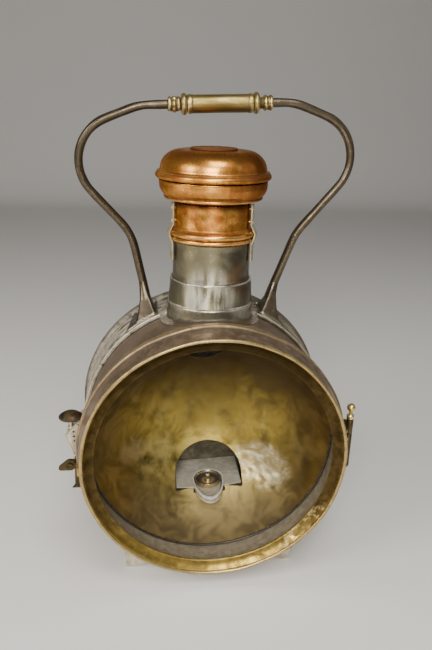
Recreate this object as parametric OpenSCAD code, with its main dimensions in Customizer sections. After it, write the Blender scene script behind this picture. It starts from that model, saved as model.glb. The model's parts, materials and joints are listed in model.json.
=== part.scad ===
// Locomotive lantern: a round drum on two cradles, with a hinged brass door,
// a reflector and oil burner inside, a chimney with a copper top, and a bow handle.
// The drum lies along Y with its door towards -Y. Heights named *_z are measured from
// the drum's axis, and depths named *_y are measured back from the door's front edge.

/* [Stance] */
// Height of the drum's underside above the surface that the cradles stand on
stand_h = 17; // [14:0.5:26]

/* [Drum] */
// Outer radius of the drum's front section
drum_r = 133; // [125:0.5:140]
// Thickness of the drum's sheet
sheet = 1.2; // [1:0.1:1.5]
// Depth of the drum's front edge behind the door's front edge
drum_front_y = 16; // [14:0.5:18]
// Radius of the wire rolled into the drum's front edge
drum_wire_r = 1.4; // [1.2:0.1:1.6]
// Depth at which the raised rear section begins
band_y = 101; // [97:1:104]
// Length of the rear section
band_len = 51.4; // [50.6:0.2:60]
// How far the rear section stands out from the front section
band_step = 4; // [3:0.5:6]
// How far the front section reaches into the rear section
drum_lap = 11; // [6:1:16]
// Radius of the beads pressed into the rear section
band_bead_r = 1.3; // [0.8:0.1:1.8]
// Depth of the first bead behind the start of the rear section
band_bead_y = 12; // [8:1:14]
// Spacing of the beads
band_bead_pitch = 12; // [9:0.5:12.5]
// Number of beads
band_beads = 4; // [2:1:4]
// Gap between sheets that lie on each other
seat_gap = 0.08; // [0.04:0.01:0.15]
// Radius of the chimney hole in the top of the drum
drum_flue_r = 37; // [30:1:38]
// Radius of the air hole behind the inlet box
drum_inlet_r = 7; // [4:0.5:9]

/* [Back cover] */
// Radius of the rolled rim round the back cover
rim_wire_r = 2.3; // [1.8:0.1:2.8]
// How far the rim's centre stands out from the rear section
rim_stand = 2.5; // [2:0.1:4]
// Radius of the ring pressed into the cover
cover_ring_r = 96; // [70:1:110]
// Radius of that ring's section
cover_ring_bead_r = 2.4; // [1.5:0.1:3]
// Radius of the raised middle of the cover
cover_boss_r = 46; // [30:1:60]
// How far the raised middle stands out
cover_boss_h = 1.8; // [1:0.1:2]

/* [Door] */
// How far the door's front edge lies outside the drum
door_front_step = 2.2; // [2:0.1:4]
// How far the door's rear edge lies outside the drum
door_rear_step = 5.8; // [5:0.1:6.5]
// Thickness of the door's brass wall
door_wall = 1.2; // [1:0.1:1.5]
// Radius of the rolled front edge
door_edge_r = 1.8; // [1.5:0.1:2.2]
// Depth of the door's large bead
door_bead_y = 27.6; // [26:0.1:28]
// Radius of the door's large bead
door_bead_r = 2.6; // [2.2:0.1:2.8]
// Depth of the door's small rear bead
door_hem_y = 33; // [32.4:0.1:33.2]
// Radius of the door's small rear bead
door_hem_r = 1.2; // [1:0.1:1.4]
// Width of the door's bevel, from its rolled edge inwards
bevel_w = 10.2; // [9:0.2:16]
// Depth of the opening's edge behind the front edge
sight_y = 6.6; // [5:0.1:7]
// How much the bevel sags below a straight line
bevel_sag = 1.6; // [0:0.1:2]
// Depth of the front of the lug on the door's left side
lug_y = 12; // [8:0.5:13]
// Length of the lug
lug_len = 11; // [8:0.5:11.5]
// Height of the lug's middle
lug_z = -10; // [-14:0.5:-4]
// Width of the lug
lug_w = 9; // [6:0.5:12]
// How far the glass reaches behind the bevel's inner edge
glass_lap = 4.2; // [3:0.1:5]
// Thickness of the glass
glass_t = 3; // [2:0.1:3.5]
// Gap between the glass and its seat
glass_gap = 0.3; // [0.2:0.05:0.5]
// Radius of the spring wire that holds the glass
glass_wire_r = 1; // [0.8:0.1:1.1]

/* [Hinge] */
// Distance of the hinge axis outside the drum
hinge_out = 13; // [12.5:0.1:14]
// Depth of the hinge axis
hinge_y = 34; // [33.5:0.1:34.5]
// Height of the hinge's middle
hinge_z = 2; // [0:1:6]
// Length of the hinge barrel
barrel_len = 56; // [48:1:64]
// Radius of the hinge barrel
barrel_r = 3.8; // [3.4:0.1:4.2]
// Length of each of the door's two knuckles
knuckle_len = 17; // [13:0.5:20]
// Gap between two knuckles
knuckle_gap = 0.3; // [0.2:0.05:0.5]
// Radius of the hinge pin
pin_r = 1.8; // [1.4:0.1:2.2]
// Running clearance of the pin in the knuckles
pin_gap = 0.05; // [0.03:0.01:0.1]
// Radius of the ball on the pin
ball_r = 4.5; // [4:0.1:5]
// Radius of the collar under the ball
pin_collar_r = 3.9; // [3.4:0.1:4.2]
// Thickness of the collar under the ball
pin_collar_h = 4.6; // [3:0.1:6]
// Height of the ball's centre above the barrel
ball_up = 13.2; // [12:0.1:15]
// Thickness of the hinge leaves
leaf_t = 1.6; // [1.2:0.1:1.8]
// How far the door's leaves reach forward from the hinge axis
leaf_reach = 24; // [18:0.5:27]
// Distance of the door's leaf rivets from the front end of their leaf
leaf_rivet_in = 5; // [4:0.5:7]
// Distance between the two rivets of a leaf
leaf_rivet_pitch = 9; // [6:0.5:11]
// How far the drum's leaf reaches back from the hinge axis
drum_leaf_reach = 26; // [20:1:32]

/* [Reflector] */
// Depth of the reflector's rim
reflector_y = 42.7; // [42:0.1:45]
// Gap between the reflector's rim and the drum
reflector_gap = 0.4; // [0.3:0.05:0.8]
// Depth of the reflector's bowl
bowl_depth = 80; // [72:1:84]
// Thickness of the reflector's sheet
reflector_t = 1; // [0.8:0.1:1.2]
// Radius of the rolled rim of the reflector
reflector_wire_r = 1.4; // [1.1:0.1:1.6]
// Radius of the flue hole in the bowl
flue_hole_r = 28; // [22:0.5:30]
// Depth of the flue hole's centre
flue_hole_y = 75; // [74:0.5:78]
// How far the reflector and burner have turned in the drum
inner_turn = -3; // [-5:0.5:5]

/* [Burner] */
// Height of the burner plate's top above the drum's underside
plate_rise = 48; // [45:0.5:51]
// Half the width of the burner plate
plate_half_w = 38.5; // [35:0.5:40]
// Thickness of the burner plate
plate_t = 1.2; // [1:0.1:1.5]
// Depth of the plate's front edge at the nose
plate_front_y = 89.5; // [88:0.5:91]
// How far the plate's front corners lie behind that
plate_bow = 3.5; // [0.5:0.5:5]
// Gap between the plate's rear edge and the back cover
plate_rear_gap = 1.4; // [1:0.1:8]
// Gap between the plate and the reflector's arch
arch_gap = 0.6; // [0.4:0.1:1]
// Height of the arch above the plate
arch_h = 46; // [42:0.5:54]
// Height of the arch's straight sides above the plate
arch_side_h = 13; // [8:0.5:18]
// Half the width of the plate's nose
nose_half_w = 18.2; // [17.8:0.1:19]
// Depth of the nose's tip
nose_y = 65.5; // [60:0.5:70]
// Height of the nose's wall
nose_wall_h = 7; // [5:0.1:7]
// Thickness of the nose's wall
nose_wall_t = 1.4; // [1:0.1:1.5]
// Depth of the burner's centre
burner_y = 108; // [106:0.5:110]
// Outer radius of the burner cup
cup_r = 16; // [13:0.1:16.1]
// How far the burner cup stands above the plate
cup_up = 0.6; // [0.4:0.1:3]
// Thickness of the cup's wall
cup_wall = 1.2; // [1:0.1:1.5]
// Outer radius of the wick tube
wick_tube_r = 2.9; // [2.4:0.1:3.4]
// How far the wick tube stands above the cup
wick_tube_up = 3.6; // [2:0.1:6]
// Radius of the wick
wick_r = 1.8; // [1.4:0.1:1.9]
// Gap between the wick and its tube
wick_gap = 0.25; // [0.15:0.05:0.3]
// How far the wick stands above its tube
wick_up = 1.6; // [1:0.1:4]
// Half the width of the oil font
font_half_w = 42; // [38:0.5:44]
// Depth of the font's front wall
font_front_y = 98; // [98:0.5:100]
// Thickness of the font's walls
font_wall = 1.2; // [1:0.1:1.5]
// Gap between the font's lower corners and the drum
font_gap = 0.3; // [0.2:0.05:0.5]

/* [Chimney] */
// Depth of the chimney's axis
chimney_y = 96; // [95:0.5:97]
// Outer radius of the chimney tube
tube_r = 40.2; // [39.8:0.1:40.4]
// Height of the chimney tube's top above the drum
tube_h = 89; // [85:0.5:96]
// Radius of the socket that carries the chimney
socket_r = 44.4; // [43.6:0.1:46]
// Height of the socket's top above the drum, where the collar begins
socket_h = 12; // [10.5:0.5:15]
// Height of the collar
collar_h = 25.5; // [20:0.5:28]
// Radius of the collar at its top
collar_top_r = 42.2; // [41.8:0.1:43]
// Radius of the saddle flange on the drum
saddle_r = 53; // [49:0.5:54]
// Thickness of the saddle flange
saddle_t = 1.4; // [1.2:0.1:1.6]

/* [Copper top] */
// Outer radius of the copper neck
neck_r = 38.9; // [38:0.1:39]
// Thickness of the copper
copper_t = 1; // [0.8:0.1:1.1]
// Clearance between the neck's skirt and the chimney tube
skirt_gap = 0.3; // [0.2:0.05:0.4]
// How far the skirt reaches down the chimney tube
skirt_h = 12.9; // [12.7:0.1:16]
// Radius of the upper bead round the skirt
skirt_bead_r = 3.2; // [2.8:0.1:3.3]
// Radius of the lower bead round the skirt
skirt_low_bead_r = 2.4; // [2:0.1:2.8]
// Height of the middle of the lower bead above the skirt's lower edge
skirt_bead_up = 3.2; // [2.9:0.1:3.6]
// Height of the neck above the chimney tube, up to the cup
neck_h = 26.5; // [22:0.1:28]
// How far the bead low on the cup stands out from the neck
cup_bead_out = 8.7; // [8:0.1:9.4]
// Height of that bead above the neck
cup_bead_up = 4.5; // [3.5:0.1:5.5]
// How far the cup's rim stands out from the neck
cup_rim_out = 15.5; // [14.8:0.1:15.7]
// Height of the cup's rim above the neck
cup_h = 20.9; // [19:0.1:21.3]
// How far the middle of the dome's bead stands out from the neck
dome_bead_out = 15.7; // [15.3:0.1:17]
// Radius of the dome's bead section
dome_bead_r = 3.6; // [3:0.1:3.8]
// Gap between the cup's rim and the dome's bead
smoke_gap = 1.4; // [1:0.1:3]
// How far the middle of the dome's shoulder lies inside its bead
dome_shoulder_in = 21.1; // [20.6:0.1:24]
// Radius of the rounding of the dome's shoulder
dome_round_r = 20; // [16:0.5:20.5]
// Height of the dome above the middle of its bead
dome_h = 23.6; // [22:0.1:25]
// Radius of the disc on the dome
disc_r = 23.5; // [18:0.5:28]
// Thickness of the disc on the dome
disc_h = 2.6; // [1.8:0.1:3]
// How far the stays lie inside the cup's bead
stay_in = 0.6; // [0:0.1:2]
// Thickness of a stay
stay_t = 1.6; // [1:0.1:2]
// Width of a stay
stay_w = 6; // [4:0.5:8]
// Number of stays
stays = 4; // [3:1:6]
// How far the left strap is turned towards the front
strap_left_turn = 12; // [0:1:30]
// How far the right strap is turned towards the front
strap_right_turn = 22; // [0:1:30]
// Width of a guide strap
strap_w = 9; // [6:0.5:12]
// Thickness of a guide strap
strap_t = 1.3; // [1:0.1:1.5]
// Distance of a strap's upper end below the cup
strap_top_gap = 1; // [1:0.5:4]
// Length of a strap below the skirt
strap_tail = 19.5; // [12:0.5:24]
// Distance of the upper strap rivet from the strap's end
strap_rivet_in = 4.5; // [3:0.5:6]
// Distance between the strap rivets
strap_rivet_pitch = 13; // [10:0.5:14]
// Gap between a strap and the beads and tube that it passes
strap_gap = 0.3; // [0.2:0.05:0.4]
// Distance of a strap's upper part from the neck
strap_stand = 2.2; // [1.6:0.1:2.8]
// Radius of the spacer behind each strap rivet
strap_spacer_r = 1.6; // [1.2:0.1:2]

/* [Handle] */
// Depth of the handle's plane
handle_y = 128; // [126:0.5:132]
// Radius of the handle's rod
rod_r = 4.5; // [4:0.1:4.8]
// Height of the handle's top above the rear section
handle_h = 203.5; // [199:0.5:212]
// Half the length of the straight top
top_half = 79; // [76:0.5:84]
// Distance of the bow's outer corner from the middle, before rounding
bow_x = 174; // [168:1:180]
// How far that corner lies below the handle's top
bow_drop = 36; // [32:0.5:40]
// Radius of the bow's rounding
bow_r = 45; // [38:0.5:50]
// Distance of the waist from the middle
waist_x = 89; // [86:0.5:92]
// Height of the waist above the rear section
waist_h = 72; // [67:0.5:77]
// Radius of the bend at the waist
waist_r = 56; // [40:0.5:60]
// Radius of the bend beside the grip
top_bend_r = 60; // [40:1:70]
// Distance of a foot from the middle
foot_x = 63; // [60:0.5:67]
// How far the old handle's top has moved to the right
handle_shift = 6.5; // [0:0.5:8]
// How far its right corner stands above its middle
handle_rise = 5.2; // [0:0.5:6]
// How far a foot plate reaches inwards from its foot, along its front edge
bracket_in = 8; // [6:0.5:10]
// How far a foot plate reaches outwards from its foot, along its front edge
bracket_out = 27; // [20:0.5:32]
// How far a foot plate reaches behind the handle
bracket_back = 18; // [16:0.5:20]
// How far its rear edge reaches outwards from its foot
bracket_back_out = 18; // [16:0.5:22]
// Distance of the foot plates from the front of the rear section
bracket_front_gap = 2; // [1:0.5:4]
// Distance of the bracket rivets from the plate's rear edge
bracket_rivet_in = 4.5; // [4:0.5:6]
// Distance of the first rivet inwards from the foot
bracket_rivet_first = 3.5; // [2:0.5:5]
// Distance between their rivets
bracket_rivet_pitch = 8.5; // [7:0.5:9]
// Depth that the rod's foot reaches below the foot plate
foot_sink = 4; // [2:0.5:6]
// Thickness of the foot plates on the drum
bracket_t = 1.6; // [1.2:0.1:2]
// Height of the flare in which the rod ends, above the plate
flare_h = 27; // [22:0.5:32]
// Outer radius of the flare round the rod
flare_top_r = 5.9; // [5.8:0.1:6.6]
// How far the flare reaches past the foot's middle towards the chimney
flare_in = 6; // [4:0.5:7]
// How far the flare reaches outwards at the front
flare_out = 17; // [14:0.5:20]
// How far the flare reaches outwards at the rear
flare_back_out = 8; // [6:0.5:10]
// How far the flare reaches behind the handle's plane
flare_back = 7; // [6:0.5:8]
// Clearance of the rod in its sockets
rod_gap = 0.05; // [0.03:0.01:0.1]

/* [Grip] */
// How far the grip sits to the right of the middle of the handle's top
grip_off = 2; // [0:0.5:4]
// Length of the grip
grip_len = 67; // [60:0.5:70]
// Radius of the grip
grip_r = 9; // [8:0.1:10]
// Running clearance of the grip on the rod
grip_gap = 0.08; // [0.05:0.01:0.1]
// Gap between the grip and its collars
grip_end_gap = 0.4; // [0.3:0.05:0.6]
// Radius of the collars
grip_collar_r = 10.8; // [10:0.1:12]
// Width of the collars
grip_collar_w = 5.6; // [4:0.1:7]
// Radius of the ferrules
ferrule_r = 7.8; // [7:0.1:8.5]
// Length of the ferrules
ferrule_len = 14; // [10:0.1:15]

/* [Air inlet] */
// Depth of the inlet box's front
inlet_y = 38.4; // [38:0.1:39]
// Length of the inlet box along the drum
inlet_len = 26; // [24:0.5:30]
// Thickness of the inlet box's sheet
inlet_t = 1; // [0.8:0.1:1.2]
// Radius of the holes in the perforated front
inlet_hole_r = 1.2; // [0.8:0.05:1.4]
// Spacing of those holes
inlet_hole_pitch = 5.2; // [4:0.1:6]
// How far the inlet box stands out from the drum
inlet_out = 17; // [16.5:0.1:17.5]
// Height of the inlet box's outer corner
inlet_corner_z = 18.5; // [17.5:0.5:19]
// Height of the inlet box's roof at the drum
inlet_roof_z = 33; // [30:0.5:35]
// Height of the inlet box's foot
inlet_foot_z = -5; // [-6:0.5:-2]
// How far the foot stands out from the drum
inlet_foot_out = 8.6; // [8:0.1:10]
// Width of the brass strip on the corner
strip_w = 3.2; // [2:0.1:4]
// Depth of the damper spindle
spindle_y = 48; // [47:0.5:50]
// Distance of the spindle outside the drum
spindle_out = 12.8; // [12.6:0.1:13]
// Radius of the spindle
spindle_r = 1.8; // [1.4:0.1:2]
// Radius of the spindle's bush
bush_r = 2.7; // [2.5:0.1:2.8]
// Width of the bush's flange
bush_flange_w = 0.9; // [0.6:0.1:1.2]
// Thickness of the bush's flange
bush_flange_h = 1.2; // [0.8:0.1:1.6]
// Gap round the bush in the inlet box
bush_gap = 0.3; // [0.1:0.05:0.4]
// Height of the bush's top
bush_z = 23; // [22.6:0.1:24]
// Radius of the mushroom cap
mushroom_r = 12.2; // [10:0.1:12.4]
// Height of the mushroom cap's rim
mushroom_z = 34.4; // [33:0.1:36]
// Height of the mushroom cap's crown above its rim
mushroom_h = 6; // [4:0.1:8]
// Travel of the damper
damper_travel = 8; // [4:0.5:9]

/* [Catch] */
// Depth of the catch bracket's front
catch_y = 35.6; // [35.4:0.1:35.8]
// Thickness of the catch bracket
catch_t = 2; // [1.6:0.1:2.2]
// How far the catch bracket stands out at its top
catch_top_out = 9.6; // [8:0.1:11]
// How far the catch bracket stands out above its foot
catch_low_out = 10.4; // [9:0.1:12]
// How far the catch bracket's foot stands out
catch_foot_out = 13.6; // [12:0.1:15]
// Height of the catch bracket's foot
catch_foot_h = 4; // [3:0.5:6]
// Length of the catch bracket's flange along the drum
catch_flange = 20; // [12:1:26]
// Distance of the catch bracket below the inlet box
catch_gap = 1; // [0.5:0.1:2]
// Width of the metal round the catch's screw
catch_boss = 2.6; // [2:0.1:3]
// Length of the catch bracket below the inlet box
catch_len = 38; // [30:0.5:42]
// Distance of the catch's pivot outside the drum
pivot_out = 14; // [13.8:0.1:14.4]
// Height of the catch's pivot
pivot_z = -13.5; // [-16:0.5:-13]
// Radius of the catch's hub
hub_r = 6; // [5.4:0.1:6]
// Thickness of the catch's thumb-piece
thumb_t = 3.6; // [2.6:0.1:4]
// Distance from the pivot to the thumb-piece's tip
thumb_len = 12.4; // [11:0.1:12.4]
// Radius of the thumb-piece's tip
thumb_tip_r = 2.6; // [2:0.1:3]
// Droop of the thumb-piece
thumb_droop = 20; // [10:1:30]
// Radius of the catch's screw
screw_r = 1.9; // [1.5:0.1:2.2]

/* [Cradles] */
// Depth of the front cradle
cradle_y = 36; // [35.6:0.1:37]
// Depth of the rear cradle
rear_cradle_y = 124; // [112:1:130]
// Thickness of the cradles
cradle_t = 2; // [1.6:0.1:2.4]
// Half the width of the cradles
cradle_half_w = 93; // [86:0.5:97]
// Length of the pads along the drum
pad_len = 15; // [10:0.5:20]
// Width of the pads
pad_w = 9; // [6:0.5:12]
// Height of the arch under a cradle
cradle_arch = 14; // [11:0.5:14]
// Width of the cradle's flange along the drum
flange_w = 9; // [7:0.5:12]

/* [Fasteners] */
// Radius of a rivet's head
rivet_r = 2.2; // [1.6:0.1:2.6]
// Height of a rivet's head
rivet_h = 1.1; // [0.8:0.1:1.5]

/* [Hidden] */
$fn = 96;

eps = 0.01;
far = 400;
axis_h = drum_r + stand_h;
band_r = drum_r + band_step;
cover_y = band_y + band_len;
overall_depth = cover_y + 2 * rim_wire_r;
door_front_r = drum_r + door_front_step;
door_rear_r = drum_r + door_rear_step;
drum_in_r = drum_r - sheet;
reflector_r = drum_in_r - reflector_gap;
rim_in_r = reflector_r - reflector_wire_r;
bowl_r = (rim_in_r * rim_in_r + bowl_depth * bowl_depth) / (2 * bowl_depth);
bowl_y = reflector_y + bowl_depth - bowl_r;
hinge_x = drum_r + hinge_out;
barrel_low_z = hinge_z - barrel_len / 2;
barrel_top_z = hinge_z + barrel_len / 2;
bevel_out_r = door_front_r - 2 * door_edge_r;
sight_r = bevel_out_r - bevel_w;
glass_r = sight_r + glass_lap;
plate_z = plate_rise - drum_r;
plate_rear_y = cover_y - plate_rear_gap;
tray_z = plate_z - nose_wall_h;
font_low_z = -sqrt(pow(drum_in_r - font_gap, 2) - font_half_w * font_half_w);
socket_z = drum_r + socket_h;
tube_top_z = drum_r + tube_h;
cup_z = tube_top_z + neck_h;
skirt_z = tube_top_z - skirt_h;
skirt_bead_z = skirt_z + skirt_bead_up;
skirt_top_bead_z = skirt_bead_z + skirt_low_bead_r + skirt_bead_r;
cup_bead_ring_r = neck_r + cup_bead_out;
cup_bead_z = cup_z + cup_bead_up;
cap_cup_r = neck_r + cup_rim_out;
cap_cup_top_z = cup_z + cup_h;
dome_bead_ring_r = neck_r + dome_bead_out;
dome_bead_z = cap_cup_top_z + smoke_gap + dome_bead_r;
dome_shoulder_r = dome_bead_ring_r - dome_shoulder_in;
dome_top_z = dome_bead_z + dome_h;
stay_ring_r = cup_bead_ring_r - stay_in;
strap_top_z = cup_z - strap_top_gap;
strap_low_z = skirt_z - strap_tail;
handle_z = band_r + handle_h;
waist_z = band_r + waist_h;
skirt_in_r = tube_r + skirt_gap;
skirt_r = skirt_in_r + copper_t;
skirt_low_ring_r = skirt_in_r + copper_t / 2;
shoulder_z = tube_top_z + 1;
bracket_r = band_r + bracket_t;
spindle_x = -(drum_r + spindle_out);
pivot_x = -(drum_r + pivot_out);

// Moves a shape drawn round the drum's axis, with depths from the door, to its place.
module lantern() translate([0, -overall_depth / 2, axis_h]) children();

// Turns a profile of [radius, depth] points round the drum's axis.
module turned() rotate([-90, 0, 0]) rotate_extrude() children();

// Carries a shape drawn on +Z round the drum: 0 is the top, positive turns towards +X.
module around(turn) rotate([0, turn, 0]) children();

// A ring of the drum's outline between two radii and two depths.
module drum_ring(r_in, r_out, y0, y1) turned() translate([r_in, y0]) square([r_out - r_in, y1 - y0]);

// The space inside the stepped outside of the drum, grown by a margin.
module drum_body(grow = seat_gap) {
    turned() polygon([[0, drum_front_y], [drum_r + grow, drum_front_y], [drum_r + grow, band_y - grow],
        [band_r + grow, band_y - grow], [band_r + grow, cover_y], [0, cover_y]]);
}

// The beads pressed into the rear section.
module beads() rotate([-90, 0, 0]) rotate_extrude($fn = 72) for (i = [0 : band_beads - 1])
    translate([band_r - sheet / 2, band_y + band_bead_y + i * band_bead_pitch]) circle(band_bead_r, $fn = 16);

// A low domed rivet head standing on the XY plane.
module rivet() {
    dome_r = (rivet_r * rivet_r + rivet_h * rivet_h) / (2 * rivet_h);
    intersection() {
        translate([0, 0, rivet_h - dome_r]) sphere(dome_r);
        cylinder(h = rivet_h * 2, r = rivet_r * 2);
    }
}

module chimney_place() lantern() translate([0, chimney_y, 0]) children();

module drum_shell() color("#5b4a45") lantern() difference() {
    turned() union() {
        translate([drum_in_r, drum_front_y + drum_wire_r])
            square([sheet, band_y + drum_lap - drum_front_y - drum_wire_r]);
        translate([drum_in_r + drum_wire_r, drum_front_y + drum_wire_r]) circle(drum_wire_r);
    }
    translate([0, chimney_y, 0]) cylinder(h = far, r = drum_flue_r);
    translate([-drum_r, inlet_y + inlet_len / 2, 0]) rotate([0, -90, 0])
        cylinder(h = 40, r = drum_inlet_r, center = true);
}

// What the chimney's round hole takes away from the drum's sheet.
module flue_cut() translate([0, chimney_y, 0]) cylinder(h = far, r = drum_flue_r);

flange_gap_half = sqrt(drum_flue_r * drum_flue_r - pow(band_y - chimney_y, 2));

module rear_section() color("#8d8676") lantern() union() {
    difference() {
        turned() polygon([[drum_r + seat_gap, band_y], [band_r - sheet / 2, band_y],
            [band_r - sheet / 2, band_y + sheet], [drum_r + seat_gap, band_y + sheet]]);
        translate([-flange_gap_half, band_y - 1, 0]) cube([2 * flange_gap_half, sheet + 2, far]);
    }
    difference() {
        turned() polygon([[band_r, band_y], [band_r, cover_y],
            [band_r - sheet, cover_y], [band_r - sheet, band_y]]);
        flue_cut();
    }
    difference() {
        beads();
        flue_cut();
    }
}

module back_cover() color("#8a8578") lantern() turned() union() {
    translate([0, cover_y]) square([band_r + rim_stand, sheet]);
    translate([band_r + rim_stand, cover_y + rim_wire_r]) circle(rim_wire_r);
    difference() {
        translate([cover_ring_r, cover_y + sheet]) circle(cover_ring_bead_r);
        translate([0, cover_y - far]) square([far, far]);
    }
    polygon([[0, cover_y], [cover_boss_r, cover_y], [cover_boss_r, cover_y + sheet],
        [cover_boss_r - 4, cover_y + sheet + cover_boss_h], [0, cover_y + sheet + cover_boss_h]]);
}

// Outer line of the door's wall at a depth.
function door_r(y) = door_front_r
    + (door_rear_r - door_front_r) * (y - door_edge_r) / (door_hem_y - door_edge_r);

module door_ring() color("#8a6a3c") lantern() turned() union() {
    polygon([[door_front_r, door_edge_r], [door_rear_r, door_hem_y],
        [door_rear_r - door_wall, door_hem_y], [door_front_r - door_wall, door_edge_r]]);
    translate([door_front_r - door_edge_r, door_edge_r]) circle(door_edge_r);
    translate([door_r(door_bead_y) - door_wall / 2, door_bead_y]) circle(door_bead_r);
    translate([door_rear_r - door_wall / 2, door_hem_y]) circle(door_hem_r);
}

seat_r = glass_r + glass_gap;
seat_end_y = sight_y + door_wall + glass_t + 2 * glass_wire_r + 1;

// Front line of the bevel: a shallow hollow between its outer and inner edges.
function bevel_point(t) = [bevel_out_r + (sight_r - bevel_out_r) * t,
    door_edge_r + (sight_y - door_edge_r) * t + bevel_sag * 4 * t * (1 - t)];

module door_bevel() color("#c9a24a") lantern() turned() union() {
    polygon(concat([for (i = [0 : 8]) bevel_point(i / 8)],
        [[sight_r, sight_y + door_wall], [seat_r, sight_y + door_wall], [seat_r, seat_end_y],
            [seat_r + door_wall, seat_end_y], [seat_r + door_wall, bevel_point(3 / 8)[1] + door_wall]],
        [for (i = [3 : -1 : 0]) bevel_point(i / 8) + [0, door_wall]]));
}

module front_glass() color("#dfe8e6", 0.3) lantern() turned()
    translate([0, sight_y + door_wall]) square([glass_r, glass_t]);

module glass_wire() color("#b08d4a") lantern() turned()
    translate([seat_r - glass_wire_r, sight_y + door_wall + glass_t + glass_wire_r]) circle(glass_wire_r);

// One knuckle with its leaf laid over the door's wall and bead.
module door_leaf(z0) {
    difference() {
        union() {
            translate([hinge_x, hinge_y, z0]) cylinder(h = knuckle_len, r = barrel_r);
            intersection() {
                turned() polygon([[door_r(leaf_y0), leaf_y0], [door_r(leaf_y0) + leaf_t, leaf_y0],
                    [door_r(door_bead_y) + leaf_t, leaf_y1],
                    [door_r(door_bead_y) + door_bead_r + leaf_t - door_wall / 2,
                      door_bead_y - door_bead_r / 2],
                    [hinge_x - barrel_r / 2, hinge_y - barrel_r * 0.8],
                    [hinge_x - barrel_r / 2, hinge_y], [door_rear_r, hinge_y]]);
                translate([0, 0, z0]) cube([far, far, knuckle_len]);
            }
        }
        turned() translate([0, 0]) polygon([[0, 0], [door_front_r, 0], [door_front_r, door_edge_r],
            [door_rear_r, door_hem_y], [door_rear_r, hinge_y + far], [0, hinge_y + far]]);
        turned() union() {
            translate([door_r(door_bead_y) - door_wall / 2, door_bead_y]) circle(door_bead_r);
            translate([door_rear_r - door_wall / 2, door_hem_y]) circle(door_hem_r);
        }
        translate([hinge_x, hinge_y, z0 - 1]) cylinder(h = knuckle_len + 2, r = pin_r + pin_gap);
    }
}

module door_hinge_leaves() color("#9a7b46") lantern() {
    door_leaf(barrel_low_z);
    door_leaf(barrel_top_z - knuckle_len);
}

// Outer line of a door leaf, from its front end to where it climbs over the bead.
leaf_y0 = hinge_y - leaf_reach;
leaf_y1 = door_bead_y - 2.5 * door_bead_r;
leaf_slope = (door_r(door_bead_y) - door_r(leaf_y0)) / (leaf_y1 - leaf_y0);

module door_hinge_rivets() color("#a98a50") lantern()
    for (s = [-1, 1], k = [-0.5, 0.5]) {
        z = hinge_z + s * (barrel_len - knuckle_len) / 2 + k * leaf_rivet_pitch;
        y = leaf_y0 + leaf_rivet_in;
        r = door_r(leaf_y0) + leaf_t + leaf_slope * leaf_rivet_in;
        around(90 - asin(z / r)) translate([0, y, r + seat_gap]) rotate([atan(leaf_slope), 0, 0]) rivet();
    }

module door_lug() color("#c9a860") lantern() difference() {
    intersection() {
        turned() polygon([[door_front_r - 1, lug_y], [door_r(lug_y) + 2.4, lug_y + 0.6],
            [door_r(lug_y + lug_len) + 2.4, lug_y + lug_len - 0.6],
            [door_r(lug_y + lug_len), lug_y + lug_len],
            [door_front_r - 1, lug_y + lug_len]]);
        translate([-door_rear_r - 10, 0, lug_z - lug_w / 2]) cube([30, far, lug_w]);
    }
    turned() polygon([[0, 0], [door_front_r + seat_gap, 0], [door_front_r + seat_gap, door_edge_r],
        [door_rear_r + seat_gap, door_hem_y], [door_rear_r + seat_gap, far], [0, far]]);
}

module drum_hinge_leaf() color("#8f7445") lantern() {
    z0 = barrel_low_z + knuckle_len + knuckle_gap;
    len = barrel_len - 2 * knuckle_len - 2 * knuckle_gap;
    difference() {
        union() {
            translate([hinge_x, hinge_y, z0]) cylinder(h = len, r = barrel_r);
            intersection() {
                union() {
                    drum_ring(drum_r, drum_r + leaf_t, hinge_y + 2, hinge_y + drum_leaf_reach);
                    translate([drum_r - 4, hinge_y + 1.4, z0]) cube([hinge_out + 4, leaf_t + 0.6, len]);
                }
                translate([drum_r - 5, 0, z0]) cube([hinge_out + 5, far, len]);
            }
        }
        turned() square([drum_r, far]);
        translate([hinge_x, hinge_y, z0 - 1]) cylinder(h = len + 2, r = pin_r + pin_gap);
    }
}

module hinge_pin() color("#b9a27a") lantern() translate([hinge_x, hinge_y, 0]) union() {
    translate([0, 0, barrel_low_z - 2]) cylinder(h = barrel_len + 4 + ball_up, r = pin_r);
    translate([0, 0, barrel_low_z - 2.3]) cylinder(h = 2, r = barrel_r - 0.4);
    translate([0, 0, barrel_top_z + knuckle_gap]) cylinder(h = pin_collar_h, r = pin_collar_r);
    translate([0, 0, barrel_top_z + ball_up]) sphere(ball_r);
}

// The arch cut through the bowl above the burner plate: straight sides under half an ellipse.
module arch(grow) {
    half = plate_half_w + grow;
    translate([0, 0, plate_z]) rotate([90, 0, 0]) linear_extrude(height = far, center = true) union() {
        polygon(concat([[-half, -plate_t - grow], [half, -plate_t - grow]],
            [for (a = [0 : 6 : 180]) [half * cos(a), arch_side_h + (arch_h - arch_side_h) * sin(a)]]));
        translate([-nose_half_w - grow, -nose_wall_h - 2 * grow])
            square([2 * (nose_half_w + grow), nose_wall_h]);
    }
}

module inner_place() lantern() around(inner_turn) children();

module reflector() color("#b08c3c") inner_place() difference() {
    union() {
        difference() {
            translate([0, bowl_y, 0]) rotate([-90, 0, 0]) sphere(bowl_r + reflector_t);
            translate([0, bowl_y, 0]) rotate([-90, 0, 0]) sphere(bowl_r);
            translate([-far / 2, reflector_y - far, -far / 2]) cube([far, far, far]);
        }
        turned() translate([rim_in_r, reflector_y]) circle(reflector_wire_r);
    }
    translate([0, flue_hole_y, 0]) cylinder(h = far, r = flue_hole_r);
    intersection() {
        arch(arch_gap);
        translate([-far / 2, reflector_y + 10, -far]) cube([far, far, far]);
    }
}

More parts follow.
